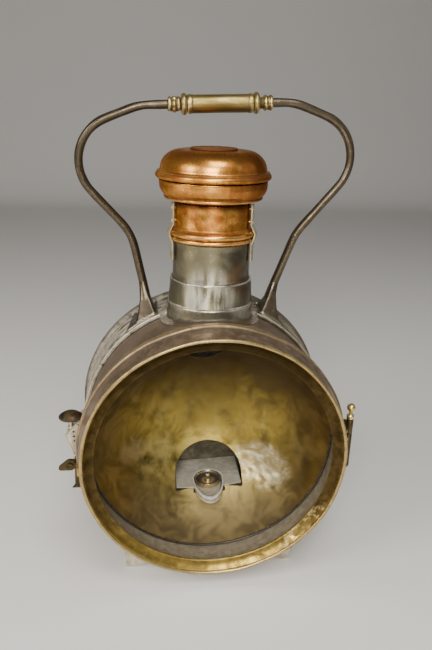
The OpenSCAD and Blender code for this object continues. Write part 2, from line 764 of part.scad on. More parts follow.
module burner_plate() color("#9c9a90") inner_place() difference() {
    union() {
        translate([0, 0, plate_z - plate_t]) linear_extrude(height = plate_t) polygon([
            [-nose_half_w, plate_front_y], [nose_half_w, plate_front_y],
            [plate_half_w, plate_front_y + plate_bow],
            [plate_half_w, plate_rear_y],
            [-plate_half_w, plate_rear_y], [-plate_half_w, plate_front_y + plate_bow]]);
        for (s = [-1, 1]) translate([s * (plate_half_w - plate_t / 2) - plate_t / 2, font_front_y + 2, tray_z])
            cube([plate_t, plate_rear_y - font_front_y - 2, nose_wall_h]);
    }
    translate([0, 0, plate_z - 2 * plate_t]) linear_extrude(height = 4 * plate_t)
        nose_outline(nose_wall_t * 0);
}

// Outline of the nose: half an ellipse from its tip to the burner, and half a circle behind.
module nose_outline(inset) {
    r = nose_half_w - inset;
    long = burner_y - nose_y - inset;
    polygon([for (a = [0 : 6 : 354]) [r * cos(a), burner_y + (a < 180 ? r : long) * sin(a)]]);
}

module burner_nose() color("#b7b3aa") inner_place() translate([0, 0, tray_z]) difference() {
    linear_extrude(height = nose_wall_h + 0.6) nose_outline(0);
    translate([0, 0, nose_wall_t]) linear_extrude(height = nose_wall_h * 2) nose_outline(nose_wall_t);
    translate([0, burner_y, -1]) cylinder(h = 4, r = wick_tube_r + wick_gap);
}

module burner_cup() color("#6d4a33") inner_place() translate([0, burner_y, tray_z + nose_wall_t]) {
    h = nose_wall_h - nose_wall_t + cup_up;
    difference() {
        cylinder(h = h, r1 = cup_r - 1.5, r2 = cup_r);
        translate([0, 0, cup_wall + 1]) cylinder(h = h, r1 = cup_r - 1.5 - cup_wall, r2 = cup_r - cup_wall);
        translate([0, 0, -1]) cylinder(h = far, r = wick_tube_r + wick_gap);
    }
}

module wick_tube() color("#b8943f") inner_place() translate([0, burner_y, tray_z]) {
    h = nose_wall_h + cup_up + wick_tube_up;
    difference() {
        cylinder(h = h, r = wick_tube_r);
        translate([0, 0, -1]) cylinder(h = h + 2, r = wick_r + wick_gap);
    }
}

module wick() color("#d8d0bd") inner_place() translate([0, burner_y, font_low_z + 2 * font_wall])
    cylinder(h = plate_z + cup_up + wick_tube_up + wick_up - font_low_z - 2 * font_wall, r = wick_r);

module oil_font() color("#8e8c84") inner_place() difference() {
    translate([-font_half_w, font_front_y, font_low_z])
        cube([2 * font_half_w, plate_rear_y - font_front_y, tray_z - font_low_z]);
    translate([-font_half_w + font_wall, font_front_y + font_wall, font_low_z + font_wall])
        cube([2 * (font_half_w - font_wall), plate_rear_y - font_front_y - 2 * font_wall,
            tray_z - font_low_z - 2 * font_wall]);
    translate([0, burner_y, tray_z - 3 * font_wall]) cylinder(h = 6 * font_wall, r = wick_r + wick_gap);
}

module chimney_saddle() color("#8f8d84") lantern() difference() {
    union() {
        translate([0, chimney_y, 0]) cylinder(h = socket_z, r = socket_r);
        intersection() {
            translate([0, chimney_y, 0]) cylinder(h = far, r = saddle_r);
            drum_body(saddle_t + seat_gap);
        }
    }
    drum_body();
    beads();
    translate([0, chimney_y, -1]) cylinder(h = far, r = tube_r + skirt_gap);
}

module chimney_collar() color("#8c897c") chimney_place() difference() {
    translate([0, 0, socket_z]) cylinder(h = collar_h, r1 = socket_r, r2 = collar_top_r);
    translate([0, 0, socket_z - 1]) cylinder(h = collar_h + 2, r = tube_r + skirt_gap);
}

module chimney_tube() color("#83816f") lantern() difference() {
    translate([0, chimney_y, 0]) cylinder(h = tube_top_z, r = tube_r);
    translate([0, chimney_y, -1]) cylinder(h = far, r = tube_r - sheet);
    drum_body();
    beads();
}

module copper_neck() color("#a5623a") chimney_place() rotate_extrude() difference() {
    union() {
        translate([skirt_in_r, skirt_z]) square([copper_t, shoulder_z - skirt_z]);
        translate([skirt_low_ring_r, skirt_bead_z]) circle(skirt_low_bead_r);
        translate([skirt_r, skirt_top_bead_z]) circle(skirt_bead_r);
        polygon([[neck_r - copper_t, shoulder_z - copper_t], [skirt_r, shoulder_z - copper_t],
            [neck_r, shoulder_z + 1.2], [neck_r - copper_t, shoulder_z + 1.2]]);
        translate([neck_r - copper_t, shoulder_z]) square([copper_t, cup_z - shoulder_z]);
    }
    translate([0, skirt_z - 1]) square([skirt_in_r, shoulder_z - copper_t - skirt_z + 1]);
}

module cap_cup() color("#9c5c38") chimney_place() rotate_extrude() union() {
    wall = [[neck_r, cup_z], [cup_bead_ring_r, cup_bead_z], [cap_cup_r - 2.4, cup_bead_z + 4.4],
        [cap_cup_r - 0.4, cup_bead_z + 9.4], [cap_cup_r, cap_cup_top_z]];
    n = len(wall) - 1;
    polygon(concat(wall, [for (i = [n : -1 : 0])
        wall[i] + [-copper_t, i == 0 ? 0 : copper_t * (n - i) / n]]));
    translate([cup_bead_ring_r + 0.4, cup_bead_z]) circle(1.7);
}

module cap_dome() color("#a8643c") chimney_place() rotate_extrude() difference() {
    union() {
        translate([dome_bead_ring_r, dome_bead_z]) circle(dome_bead_r);
        polygon([[dome_bead_ring_r - 1, dome_bead_z], [dome_bead_ring_r + 0.4, dome_bead_z],
            [dome_shoulder_r + dome_round_r, dome_top_z - dome_round_r], [0, dome_top_z - dome_round_r],
            [0, dome_bead_z]]);
        translate([0, dome_top_z - dome_round_r]) square([dome_shoulder_r, dome_round_r]);
        translate([dome_shoulder_r, dome_top_z - dome_round_r]) circle(dome_round_r);
    }
    polygon([[0, dome_bead_z - far / 10], [dome_bead_ring_r - 1, dome_bead_z - far / 10],
        [dome_bead_ring_r - 1, dome_bead_z], [dome_shoulder_r + dome_round_r - copper_t,
        dome_top_z - dome_round_r], [0, dome_top_z - dome_round_r]]);
    translate([0, dome_top_z - dome_round_r - eps]) square([dome_shoulder_r, dome_round_r - copper_t]);
    translate([dome_shoulder_r, dome_top_z - dome_round_r]) circle(dome_round_r - copper_t);
}

module cap_disc() color("#b06c42") chimney_place() translate([0, 0, dome_top_z]) rotate_extrude() union() {
    square([disc_r - disc_h / 2, disc_h * 0.7]);
    difference() {
        translate([disc_r - disc_h / 2, disc_h / 2]) circle(disc_h / 2);
        translate([0, -far]) square([far, far]);
    }
}

stay_low_z = cup_bead_z + 3;
stay_top_z = dome_top_z - dome_round_r - 0.05 + sqrt(pow(dome_round_r - copper_t, 2)
    - pow(norm([stay_ring_r + stay_t, stay_w / 2]) - dome_shoulder_r, 2));

module cap_stays() color("#7a5238") chimney_place()
    for (i = [0 : stays - 1]) rotate([0, 0, 45 + i * 360 / stays])
    translate([stay_ring_r, -stay_w / 2, stay_low_z]) cube([stay_t, stay_w, stay_top_z - stay_low_z]);

function strap_angle(side) = side > 0 ? -strap_right_turn : 180 + strap_left_turn;

// Side view of a guide strap, from beside the neck over the beads to the chimney tube.
module strap(side) {
    in_top = neck_r + strap_stand;
    bead_out = skirt_r + skirt_bead_r + strap_gap;
    low_bead_out = skirt_low_ring_r + skirt_low_bead_r + strap_gap;
    in_low = skirt_r + strap_gap;
    line = [[in_top, strap_top_z], [in_top, shoulder_z + 3.8], [bead_out, skirt_top_bead_z + 1],
        [bead_out, skirt_top_bead_z - 1.5], [low_bead_out, skirt_bead_z], [in_low, skirt_z - 3],
        [in_low, strap_low_z]];
    n = len(line) - 1;
    chimney_place() rotate([0, 0, strap_angle(side)]) rotate([90, 0, 0])
        linear_extrude(height = strap_w, center = true) polygon(concat(line,
            [for (i = [n : -1 : 0]) line[i] + [strap_t, 0]]));
}

module strap_left() color("#97957f") strap(-1);

module strap_right() color("#a89a5c") strap(1);

module strap_rivets() color("#b4a774") chimney_place() for (side = [-1, 1], i = [0, 1])
    rotate([0, 0, strap_angle(side)])
    translate([0, 0, strap_top_z - strap_rivet_in - i * strap_rivet_pitch]) {
        translate([neck_r + strap_stand + strap_t, 0, 0]) rotate([0, 90, 0]) rivet();
        translate([neck_r + seat_gap, 0, 0]) rotate([0, 90, 0])
            cylinder(h = strap_stand - 2 * seat_gap, r = strap_spacer_r);
    }

// The handle's corner points, on side -1 or 1, with the lean of the old handle.
function lean(side, x, z, hold) = [side * x + hold * handle_shift,
    z + side * hold * handle_rise * min(1, x / 120)];
bend_swell = 0.05;
bend_lap = 0.8;
foot_z = sqrt(bracket_r * bracket_r - foot_x * foot_x) - foot_sink;
handle_line = [lean(-1, foot_x, foot_z, 0), lean(-1, waist_x, waist_z, 1) - [0, -handle_rise * 0.7],
    lean(-1, bow_x, handle_z - bow_drop, 1), lean(-1, top_half, handle_z, 1), lean(1, top_half, handle_z, 1),
    lean(1, bow_x, handle_z - bow_drop, 1), lean(1, waist_x, waist_z, 1) - [0, handle_rise * 0.7],
    lean(1, foot_x, foot_z, 0)];
handle_bends = [0, waist_r, bow_r, top_bend_r, top_bend_r, bow_r, waist_r, 0];
grip_tilt = atan2(handle_line[4][1] - handle_line[3][1], handle_line[4][0] - handle_line[3][0]);

function heading(p, q) = atan2(q[1] - p[1], q[0] - p[0]);
function turn_of(a, b) = let (d = b - a) d > 180 ? d - 360 : d < -180 ? d + 360 : d;
function unit(a) = [cos(a), sin(a)];

// A round rod along corner points in a plane, with a bend of given radius at each corner.
// The straight runs reach a little into the bends, which are thicker by bend_swell.
module rod(line, bends, r) {
    n = len(line) - 1;
    head = [for (i = [0 : n - 1]) heading(line[i], line[i + 1])];
    turn = [for (i = [0 : n]) i == 0 || i == n ? 0 : turn_of(head[i - 1], head[i])];
    cut = [for (i = [0 : n]) bends[i] * tan(abs(turn[i]) / 2)];
    for (i = [0 : n - 1]) {
        a = line[i] + unit(head[i]) * (cut[i] - (i > 0 ? bend_lap : 0));
        b = line[i + 1] - unit(head[i]) * (cut[i + 1] - (i < n - 1 ? bend_lap : 0));
        translate(a) rotate([0, 0, head[i]]) rotate([0, 90, 0]) cylinder(h = norm(b - a), r = r);
    }
    for (i = [1 : n - 1]) {
        side = sign(turn[i]);
        start = line[i] - unit(head[i - 1]) * cut[i];
        centre = start + unit(head[i - 1] + 90) * side * bends[i];
        from = head[i - 1] - side * 90;
        translate(centre) rotate([0, 0, side > 0 ? from : from + turn[i]])
            rotate_extrude(angle = abs(turn[i])) translate([bends[i], 0]) circle(r + bend_swell);
    }
}

module handle_place() lantern() translate([0, handle_y, 0]) rotate([90, 0, 0]) children();

module handle_rod() color("#6f665a") difference() {
    handle_place() rod(handle_line, handle_bends, rod_r, $fn = 48);
    lantern() turned() square([bracket_r, far]);
}

// The foot plate and socket that hold one end of the handle's rod.
module bracket(side) {
    i = side < 0 ? 0 : 7;
    foot = handle_line[i];
    aim = handle_line[side < 0 ? 1 : 6];
    a = heading(foot, aim);
    difference() {
        union() {
            intersection() {
                lantern() drum_ring(band_r, bracket_r, band_y + 1, cover_y - 2);
                lantern() linear_extrude(height = far) polygon([
                    [side * (foot_x - bracket_in), band_y + bracket_front_gap],
                    [side * (foot_x + bracket_out), band_y + bracket_front_gap],
                    [side * (foot_x + bracket_back_out), handle_y + bracket_back],
                    [side * (foot_x - bracket_in), handle_y + bracket_back]]);
            }
            difference() {
                hull() {
                    handle_place() translate(foot + unit(a) * (foot_sink + flare_h - 2)) rotate([0, 0, a])
                        rotate([0, 90, 0]) cylinder(h = 2, r = flare_top_r, $fn = 32);
                    lantern() for (p = [[-flare_in, band_y + bracket_front_gap + 1.5],
                        [flare_out, band_y + bracket_front_gap + 1.5],
                        [flare_back_out, handle_y + flare_back],
                        [-flare_in, handle_y + flare_back]]) let (x = foot_x + p[0])
                        translate([side * x, p[1], sqrt(bracket_r * bracket_r - x * x) - 2])
                            cylinder(h = 2.5, r = 1.5, $fn = 16);
                }
                lantern() turned() square([band_r + bracket_t / 2, far]);
            }
        }
        handle_place() translate(foot - unit(a) * 20) rotate([0, 0, a]) rotate([0, 90, 0])
            cylinder(h = far, r = rod_r + rod_gap);
        lantern() beads();
    }
}

module bracket_left() color("#9a9684") bracket(-1);

module bracket_right() color("#8f8974") bracket(1);

module bracket_rivets() color("#a49c86") lantern() for (s = [-1, 1], i = [0 : 2])
    around(s * asin((foot_x - bracket_rivet_first + i * bracket_rivet_pitch) / bracket_r))
        translate([0, handle_y + bracket_back - bracket_rivet_in, bracket_r]) rivet();

// Places a shape drawn along +X from the grip's middle.
module grip_place() handle_place() translate((handle_line[3] + handle_line[4]) / 2) rotate([0, 0, grip_tilt])
    translate([grip_off, 0, 0]) children();

module grip_sleeve() color("#b08a3e") grip_place() rotate([0, 90, 0]) difference() {
    union() {
        cylinder(h = grip_len, r = grip_r, center = true);
        for (s = [-1, 1]) translate([0, 0, s * (grip_len / 2 - 3)])
            cylinder(h = 3, r = grip_r + 0.5, center = true);
    }
    cylinder(h = grip_len + 2, r = rod_r + grip_gap, center = true);
}

module grip_collars() color("#a98643") grip_place() for (s = [-1, 1])
    translate([s * (grip_len / 2 + grip_end_gap + grip_collar_w / 2), 0, 0]) rotate([0, 90, 0]) difference() {
        rotate_extrude() union() {
            translate([0, -grip_collar_w / 2]) square([grip_collar_r - grip_collar_w / 2, grip_collar_w]);
            translate([grip_collar_r - grip_collar_w / 2, 0]) circle(grip_collar_w / 2);
        }
        cylinder(h = grip_collar_w + 2, r = rod_r + grip_gap, center = true);
    }

ferrule_start = grip_len / 2 + grip_end_gap + grip_collar_w;

module ferrule_left() color("#a38350") grip_place() rotate([0, -90, 0])
    translate([0, 0, ferrule_start]) difference() {
    rotate_extrude() union() {
        square([ferrule_r - 2, ferrule_len]);
        for (z = [2.4, ferrule_len / 2, ferrule_len - 2.4]) translate([ferrule_r - 2.2, z]) circle(2.2);
    }
    translate([0, 0, -1]) cylinder(h = ferrule_len + 2, r = rod_r + grip_gap);
}

module ferrule_right() color("#a38350") grip_place() rotate([0, 90, 0])
    translate([0, 0, ferrule_start]) difference() {
    rotate_extrude() union() {
        square([ferrule_r - 2.2, ferrule_len]);
        translate([0, ferrule_len - 9.4]) square([ferrule_r - 1, 9.4]);
        translate([ferrule_r - 2, ferrule_len - 7.4]) circle(2);
        translate([ferrule_r - 2, ferrule_len - 2]) circle(2);
    }
    translate([0, 0, -1]) cylinder(h = ferrule_len + 2, r = rod_r + grip_gap);
}

// Section of the inlet box in the XZ plane, grown inwards by a wall.
function inlet_line(w) = [[-(drum_r - 12), inlet_roof_z - w], [-(drum_r + 3), inlet_roof_z - w],
    [-(drum_r + inlet_out - w), inlet_corner_z - w / 2], [-(drum_r + inlet_foot_out - w), inlet_foot_z + w],
    [-(drum_r - 12), inlet_foot_z + w]];

module inlet_prism(w, y0, y1) translate([0, y1, 0]) rotate([90, 0, 0])
    linear_extrude(height = y1 - y0) polygon(inlet_line(w));

module inlet_box() color("#a8a59c") lantern() difference() {
    inlet_prism(0, inlet_y + inlet_t, inlet_y + inlet_len);
    inlet_prism(inlet_t, inlet_y - 1, inlet_y + inlet_len - inlet_t);
    drum_body();
    translate([spindle_x, spindle_y, 0]) cylinder(h = far, r = bush_r + bush_gap);
    translate([spindle_x, spindle_y, bush_z - bush_flange_h - bush_gap])
        cylinder(h = far, r = bush_r + bush_flange_w + bush_gap);
}

module inlet_plate() color("#b9b6ae") lantern() difference() {
    inlet_prism(0, inlet_y, inlet_y + inlet_t);
    drum_body();
    for (i = [0 : 1], k = [0 : 5]) translate([-(drum_r + 4.2 + i * inlet_hole_pitch),
        inlet_y, inlet_roof_z - 3.6 - (k + i / 2) * inlet_hole_pitch])
        if (!(i == 1 && (k == 0 || k > 3)))
            rotate([90, 0, 0]) cylinder(h = 9, r = inlet_hole_r, center = true);
}

module inlet_strip() color("#c7b27c") lantern() {
    a = inlet_line(0)[2];
    b = inlet_line(0)[3];
    out = unit(heading(b, a) + 90);
    translate([0, inlet_y + strip_w, 0]) rotate([90, 0, 0]) linear_extrude(height = strip_w)
        polygon([a, b, b + out * inlet_t, a + out * inlet_t]);
}

module spindle_bush() color("#b7a66e") lantern() translate([spindle_x, spindle_y, 0]) difference() {
    union() {
        translate([0, 0, inlet_corner_z - 6]) cylinder(h = bush_z - inlet_corner_z + 6, r = bush_r);
        translate([0, 0, bush_z - bush_flange_h]) cylinder(h = bush_flange_h, r = bush_r + bush_flange_w);
    }
    cylinder(h = far, r = spindle_r + pin_gap);
}

module damper_spindle() color("#a9a492") lantern() translate([spindle_x, spindle_y, 0]) union() {
    translate([0, 0, bush_z - damper_travel - 7])
        cylinder(h = mushroom_z - bush_z + damper_travel + 7, r = spindle_r);
}

module mushroom_cap() color("#7d5a40") lantern() translate([spindle_x, spindle_y, mushroom_z])
    rotate_extrude() union() {
    intersection() {
        translate([0, mushroom_h - (mushroom_r * mushroom_r + mushroom_h * mushroom_h) / (2 * mushroom_h)])
            circle((mushroom_r * mushroom_r + mushroom_h * mushroom_h) / (2 * mushroom_h));
        square([mushroom_r, mushroom_h + 1]);
    }
    intersection() {
        translate([mushroom_r - 1.2, 0]) circle(1.2);
        translate([0, -3]) square([far, 6]);
    }
}

module catch_bracket() color("#8d8560") lantern() difference() {
    top_z = inlet_foot_z - catch_gap;
    low_z = inlet_foot_z - catch_len;
    union() {
        translate([0, catch_y + catch_t, 0]) rotate([90, 0, 0]) linear_extrude(height = catch_t) union() {
            polygon([[-(drum_r - catch_flange), top_z], [-(drum_r + catch_top_out), top_z],
                [-(drum_r + catch_low_out), low_z + catch_foot_h], [-(drum_r + catch_foot_out), low_z],
                [-(drum_r - catch_flange), low_z]]);
            translate([pivot_x, pivot_z]) circle(screw_r + catch_boss);
            translate([pivot_x, pivot_z - screw_r - catch_boss]) square([hub_r, 2 * (screw_r + catch_boss)]);
        }
        intersection() {
            drum_ring(drum_r, drum_r + catch_t, catch_y, catch_y + catch_flange);
            translate([-far, 0, low_z]) cube([far, far, top_z - low_z]);
        }
    }
    drum_body();
    translate([pivot_x, catch_y - 1, pivot_z]) rotate([-90, 0, 0]) cylinder(h = 10, r = screw_r + pin_gap);
}

module catch_lever() color("#b5954c") lantern()
    translate([pivot_x, catch_y - 0.3, pivot_z]) rotate([90, 0, 0]) {
    tip = [-cos(thumb_droop), -sin(thumb_droop)] * (thumb_len - thumb_tip_r);
    difference() {
        union() {
            linear_extrude(height = thumb_t) hull() {
                circle(hub_r, $fn = 32);
                translate(tip) circle(thumb_tip_r, $fn = 24);
            }
            cylinder(h = thumb_t + 0.8, r = hub_r - 1);
        }
        translate([0, 0, -1]) cylinder(h = thumb_t + 4, r = screw_r + pin_gap);
    }
}

module catch_screw() color("#9d8650") lantern()
    translate([pivot_x, catch_y, pivot_z]) rotate([90, 0, 0]) union() {
    translate([0, 0, -catch_t - 1]) cylinder(h = catch_t + thumb_t + 2.6, r = screw_r);
    difference() {
        translate([0, 0, thumb_t + 1.4]) cylinder(h = 1.8, r = screw_r + 1.6);
        translate([-far / 2, -0.5, thumb_t + 2.4]) cube([far, 1, 4]);
    }
}

// A cradle plate across the underside of the drum, with a pad at each end.
module cradle(y0, r) {
    difference() {
        union() {
            translate([0, y0 + cradle_t, 0]) rotate([90, 0, 0]) linear_extrude(height = cradle_t)
                difference() {
                translate([-cradle_half_w, -axis_h]) square([2 * cradle_half_w, axis_h]);
                circle(r + seat_gap);
                arch_half = cradle_half_w - pad_w;
                arch_r = (arch_half * arch_half + cradle_arch * cradle_arch) / (2 * cradle_arch);
                translate([0, -axis_h + cradle_arch - arch_r]) circle(arch_r);
                translate([-far, -r * cos(asin(cradle_half_w / r))]) square([2 * far, far]);
            }
            for (s = [-1, 1]) translate([s * (cradle_half_w - pad_w / 2) - pad_w / 2, y0, -axis_h])
                cube([pad_w, pad_len, cradle_t]);
            intersection() {
                drum_ring(r + seat_gap, r + cradle_t, y0, y0 + flange_w);
                translate([-cradle_half_w, 0, -far]) cube([2 * cradle_half_w, far, far - 60]);
            }
        }
        turned() square([r + seat_gap, far]);
    }
}

module front_cradle() color("#c4c2bb") lantern() cradle(cradle_y, drum_r);

module rear_cradle() color("#b2afa6") lantern() difference() {
    cradle(rear_cradle_y, band_r);
    beads();
}

module cradle_rivets() color("#aaa79c") lantern() for (p = [[cradle_y, drum_r], [rear_cradle_y, band_r]],
    a = [-30, 0, 30]) around(180 + a) translate([0, p[0] + flange_w - rivet_r - 0.6, p[1] + cradle_t]) rivet();

drum_shell();
rear_section();
back_cover();
door_ring();
door_bevel();
front_glass();
glass_wire();
door_hinge_leaves();
door_hinge_rivets();
door_lug();
drum_hinge_leaf();
hinge_pin();
reflector();
burner_plate();
burner_nose();
burner_cup();
wick_tube();
wick();
oil_font();
chimney_saddle();
chimney_collar();
chimney_tube();
copper_neck();
cap_cup();
cap_dome();
cap_disc();
cap_stays();
strap_left();
strap_right();
strap_rivets();
handle_rod();
bracket_left();
bracket_right();
bracket_rivets();
grip_sleeve();
grip_collars();
ferrule_left();
ferrule_right();
inlet_box();
inlet_plate();
inlet_strip();
spindle_bush();
damper_spindle();
mushroom_cap();
catch_bracket();
catch_lever();
catch_screw();
front_cradle();
rear_cradle();
cradle_rivets();
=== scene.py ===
"""Locomotive lantern: its visible pieces, finishes, camera and studio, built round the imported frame.

Lantern millimetres: x to the right, y the depth behind the door's front edge, z the height above the
drum's axis. Every shape is worked out in them, and piece() moves it to the frame.
"""

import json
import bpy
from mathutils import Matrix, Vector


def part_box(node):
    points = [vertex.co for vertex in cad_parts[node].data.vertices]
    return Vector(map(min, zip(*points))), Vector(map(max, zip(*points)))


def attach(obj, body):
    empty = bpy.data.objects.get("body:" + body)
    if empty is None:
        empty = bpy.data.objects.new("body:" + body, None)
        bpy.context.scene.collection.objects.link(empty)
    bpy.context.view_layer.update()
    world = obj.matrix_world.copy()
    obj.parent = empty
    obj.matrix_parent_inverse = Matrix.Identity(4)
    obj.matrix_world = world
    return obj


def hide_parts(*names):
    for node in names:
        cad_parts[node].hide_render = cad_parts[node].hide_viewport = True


bl_info = {
    "name": "Locomotive Lantern",
    "version": (1, 0, 0),
    "blender": (4, 5, 0),
    "location": "3D Viewport > Sidebar > Lantern",
    "description": "Builds the lantern's visible pieces and finishes round its packed frame",
    "category": "Object",
}

import bpy
import numpy as np
from bpy.props import FloatProperty, FloatVectorProperty, PointerProperty
from bpy.types import Operator, Panel, PropertyGroup
from mathutils import Matrix

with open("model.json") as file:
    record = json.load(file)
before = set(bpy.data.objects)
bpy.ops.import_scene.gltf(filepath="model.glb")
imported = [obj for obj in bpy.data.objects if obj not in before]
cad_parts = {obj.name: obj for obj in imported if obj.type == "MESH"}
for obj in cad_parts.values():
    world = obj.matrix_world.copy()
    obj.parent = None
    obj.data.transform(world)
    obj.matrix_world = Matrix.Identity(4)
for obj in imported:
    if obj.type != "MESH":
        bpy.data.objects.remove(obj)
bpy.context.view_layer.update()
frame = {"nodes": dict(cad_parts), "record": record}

MM = 0.001
_low, _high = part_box("drum_shell")
ORIGIN = np.array([0.0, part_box("door_ring")[0].y, (_low.z + _high.z) / 2])

# Drum. Within the inner of its two colour radii its sheet takes a paler dull colour, painted light for the
# lit inner wall, and beyond PAINT_R it is painted.
DRUM_R, SHEET, DRUM_FRONT = 133.0, 1.2, 16.0
BAND_R, BAND_Y, BAND_BLEND, COVER_Y = 137.0, 101.0, 0.8, 152.4
BEAD_Y, BEAD_R = (113.0, 125.0, 137.0, 149.0), 1.3
FLUE_R, FLUE_Y = 37.0, 96.0
LIT_INSIDE_R, PAINT_R = 132.05, 132.4
# Door
DOOR_FRONT_R, DOOR_REAR_R, DOOR_WALL, DOOR_ROLL = 135.2, 138.8, 1.2, 1.8
DOOR_BEAD, DOOR_HEM = (27.6, 2.6), (33.0, 1.2)
SIGHT_R, SIGHT_Y, BEVEL_OUT_R, BEVEL_SAG = 121.4, 6.6, 131.6, 1.6
GLASS_R, GLASS_T, GLASS_WIRE = 125.6, 3.0, 1.0
HAMMERED_AT, HAMMERED_SPREAD = 132, 26
# Hinge
HINGE, PIN_BALL_UP, PIN_BALL_R = (146.0, 34.0, 2.0), 13.2, 4.5
BARREL_LEN = 56.0
# Reflector and burner
BOWL_Y0, BOWL_DEPTH, BOWL_RIM_R = 42.7, 80.0, 130.0
FLUE_HOLE_R, FLUE_HOLE_Y = 28.0, 75.0
INNER_TURN = -3.0
PLATE_Z, PLATE_HALF, ARCH_H, ARCH_SIDE_H, ARCH_GAP = -85.0, 38.5, 46.0, 13.0, 0.6
NOSE_HALF, NOSE_Y, NOSE_WALL_H, NOSE_WALL_T, BURNER_Y = 18.2, 65.5, 7.0, 1.4, 108.0
CUP_R, CUP_UP, WICK_TUBE_R, WICK_TUBE_UP, WICK_R, WICK_UP = 16.0, 0.6, 2.9, 3.6, 1.8, 1.6
# Chimney, with the angles of its collar's lapped seam
TUBE_R, TUBE_TOP, SADDLE_R = 40.2, 222.0, 53.0
SOCKET_R, SOCKET_Z, COLLAR_H, COLLAR_TOP_R, TUBE_LOW = 44.4, 145.0, 25.5, 42.2, 118
SEAM_AT, SEAM_END = 318, 326
# Copper top
NECK_R, COPPER_T, SKIRT_GAP, SKIRT_Z, CUP_Z = 38.9, 1.0, 0.3, 209.1, 248.5
SKIRT_BEADS = (41.0, 212.3, 2.4), (41.5, 217.9, 3.2)
CUP_BEAD, CUP_RIM = (47.6, 253.0), (54.4, 269.4)
DOME_BEAD, DOME_BEAD_R, DOME_SHOULDER, DOME_ROUND, DOME_TOP = (54.8, 273.9), 3.2, 33.5, 20.0, 298.0
DISC_R = 23.5
# Handle
HANDLE_Y, ROD_R, HANDLE_Z, TOP_HALF, BOW_X, BOW_DROP = 128.0, 4.5, 340.5, 79.0, 174.0, 36.0
WAIST_X, WAIST_Z, FOOT_X, HANDLE_SHIFT, HANDLE_RISE = 89.0, 209.0, 63.0, 6.5, 5.2
WAIST_BEND, BOW_BEND, TOP_BEND, LEAN_REACH, BEND_SMOOTHING = 56.0, 45.0, 60.0, 120, 14
BRACKET_R, FLARE_H, FLARE_IN, FLARE_OUT, FLARE_BACK_OUT, FLARE_BACK = 138.6, 27.0, 6.0, 17.0, 8.0, 7.0
GRIP_OFF, GRIP_LEN, GRIP_R, COLLAR_R, COLLAR_W, FERRULE_R, FERRULE_LEN = 2.0, 67.0, 9.0, 10.8, 5.6, 7.8, 14.0
# Left fittings
SPINDLE = (-145.8, 48.0)
BUSH_R, BUSH_Z, SPINDLE_R, CAP_R, CAP_Z, CAP_H = 2.7, 23.0, 1.8, 12.2, 34.4, 6.0
# Rivets, and the finish of the pieces' edges
RIVET_R, RIVET_H, RIVET_SIDES = 2.2, 1.1, 12
EDGE_REACH, EDGE_BLUR, EDGE_SPACING = 1.2, 0.9, 0.15
WELD_DISTANCE, SMOOTH_ANGLE = 0.00001, 35
# Photo's camera: the photo's height and the focal length in pixels, the sensor in millimetres, the place in
# lantern millimetres, and yaw, pitch and roll in degrees
PHOTO_HEIGHT, FOCAL_PIXELS, SENSOR = 650, 622.73, 36.0
CAMERA_PLACE, CAMERA_TURN = (-70.9, -533.51, 342.24), (7.08, 19.72, 1.79)
# Studio floor in millimetres: half its width, its front edge, its flat length, and how far back and how high
# it then sweeps up. FLOOR_SHARE of its rows lie on the flat part.
FLOOR_HALF, FLOOR_FRONT, FLOOR_FLAT, SWEEP_DEPTH, SWEEP_HEIGHT = 6000, -4000, 6500, 900, 4200
FLOOR_SHARE = 0.7
WORLD_GREY, WORLD_STRENGTH = 0.86, 0.09
# Lights: name, place and aim in metres, width, watts and colour. The two pools lie on the floor in front,
# and the upright metal walls mirror them as soft bands.
LIGHTS = (
    ("key", (-0.25, -1.5, 1.05), (0, 0, 0.28), 0.8, 32, (1.0, 0.96, 0.90)),
    ("top", (0.15, -0.95, 2.0), (0, 0.02, 0.14), 0.9, 22, (1.0, 0.98, 0.95)),
    ("left", (-1.35, -0.8, 1.15), (0, 0, 0.28), 0.7, 14, (1.0, 0.97, 0.92)),
    ("right", (1.25, -0.35, 0.95), (0, 0, 0.28), 1.0, 1.5, (1.0, 0.97, 0.93)),
    ("pool", (-0.22, -1.85, 0.45), (-0.22, -1.851, 0), 0.5, 22.0, (1.0, 0.88, 0.68)),
    ("side_pool", (-1.75, -0.65, 0.5), (-1.75, -0.651, 0), 0.5, 24.0, (1.0, 0.88, 0.68)),
)


# ---------------------------------------------------------------- surfaces


def skin(points, loop=(False, True), poles=(False, False), wear=0.0, dirt=0.0, flip=None):
    """A surface from a grid of points: each four neighbours make a face, a loop joins the last row or column
    to the first, and a pole closes an end row with a fan to its mean. A closed skin is turned outwards by
    the sign of its volume, and an open one by flip."""
    n, m = points.shape[:2]
    verts = points.reshape(-1, 3)
    marks = np.stack([np.broadcast_to(v, (n, m)).ravel() for v in (wear, dirt)], 1)
    index = np.arange(n * m).reshape(n, m)
    if loop[1]:
        index = np.hstack([index, index[:, :1]])
    rows = np.vstack([index, index[:1]]) if loop[0] else index
    quads = np.stack([rows[:-1, :-1], rows[1:, :-1], rows[1:, 1:], rows[:-1, 1:]], -1).reshape(-1, 4)
    tris = np.zeros((0, 3), int)
    for end, row in ((0, index[0]), (1, index[-1])):
        if poles[end]:
            hub = np.full(len(row) - 1, len(verts))
            verts = np.vstack([verts, verts[row[:-1]].mean(0)])
            marks = np.vstack([marks, marks[row[:-1]].mean(0)])
            fan = (hub, row[:-1], row[1:]) if end == 0 else (row[:-1], hub, row[1:])
            tris = np.vstack([tris, np.stack(fan, 1)])
    if flip is None:
        corners = verts[np.vstack([quads[:, :3], quads[:, [0, 2, 3]], tris])] - verts.mean(0)
        flip = np.einsum("ij,ij->i", corners[:, 0], np.cross(corners[:, 1], corners[:, 2])).sum() < 0
    if flip:
        quads, tris = quads[:, ::-1], tris[:, ::-1]
    return verts, quads, tris, marks


def to_frame(verts):
    """Lantern millimetres to the frame's metres."""
    return verts * MM + ORIGIN


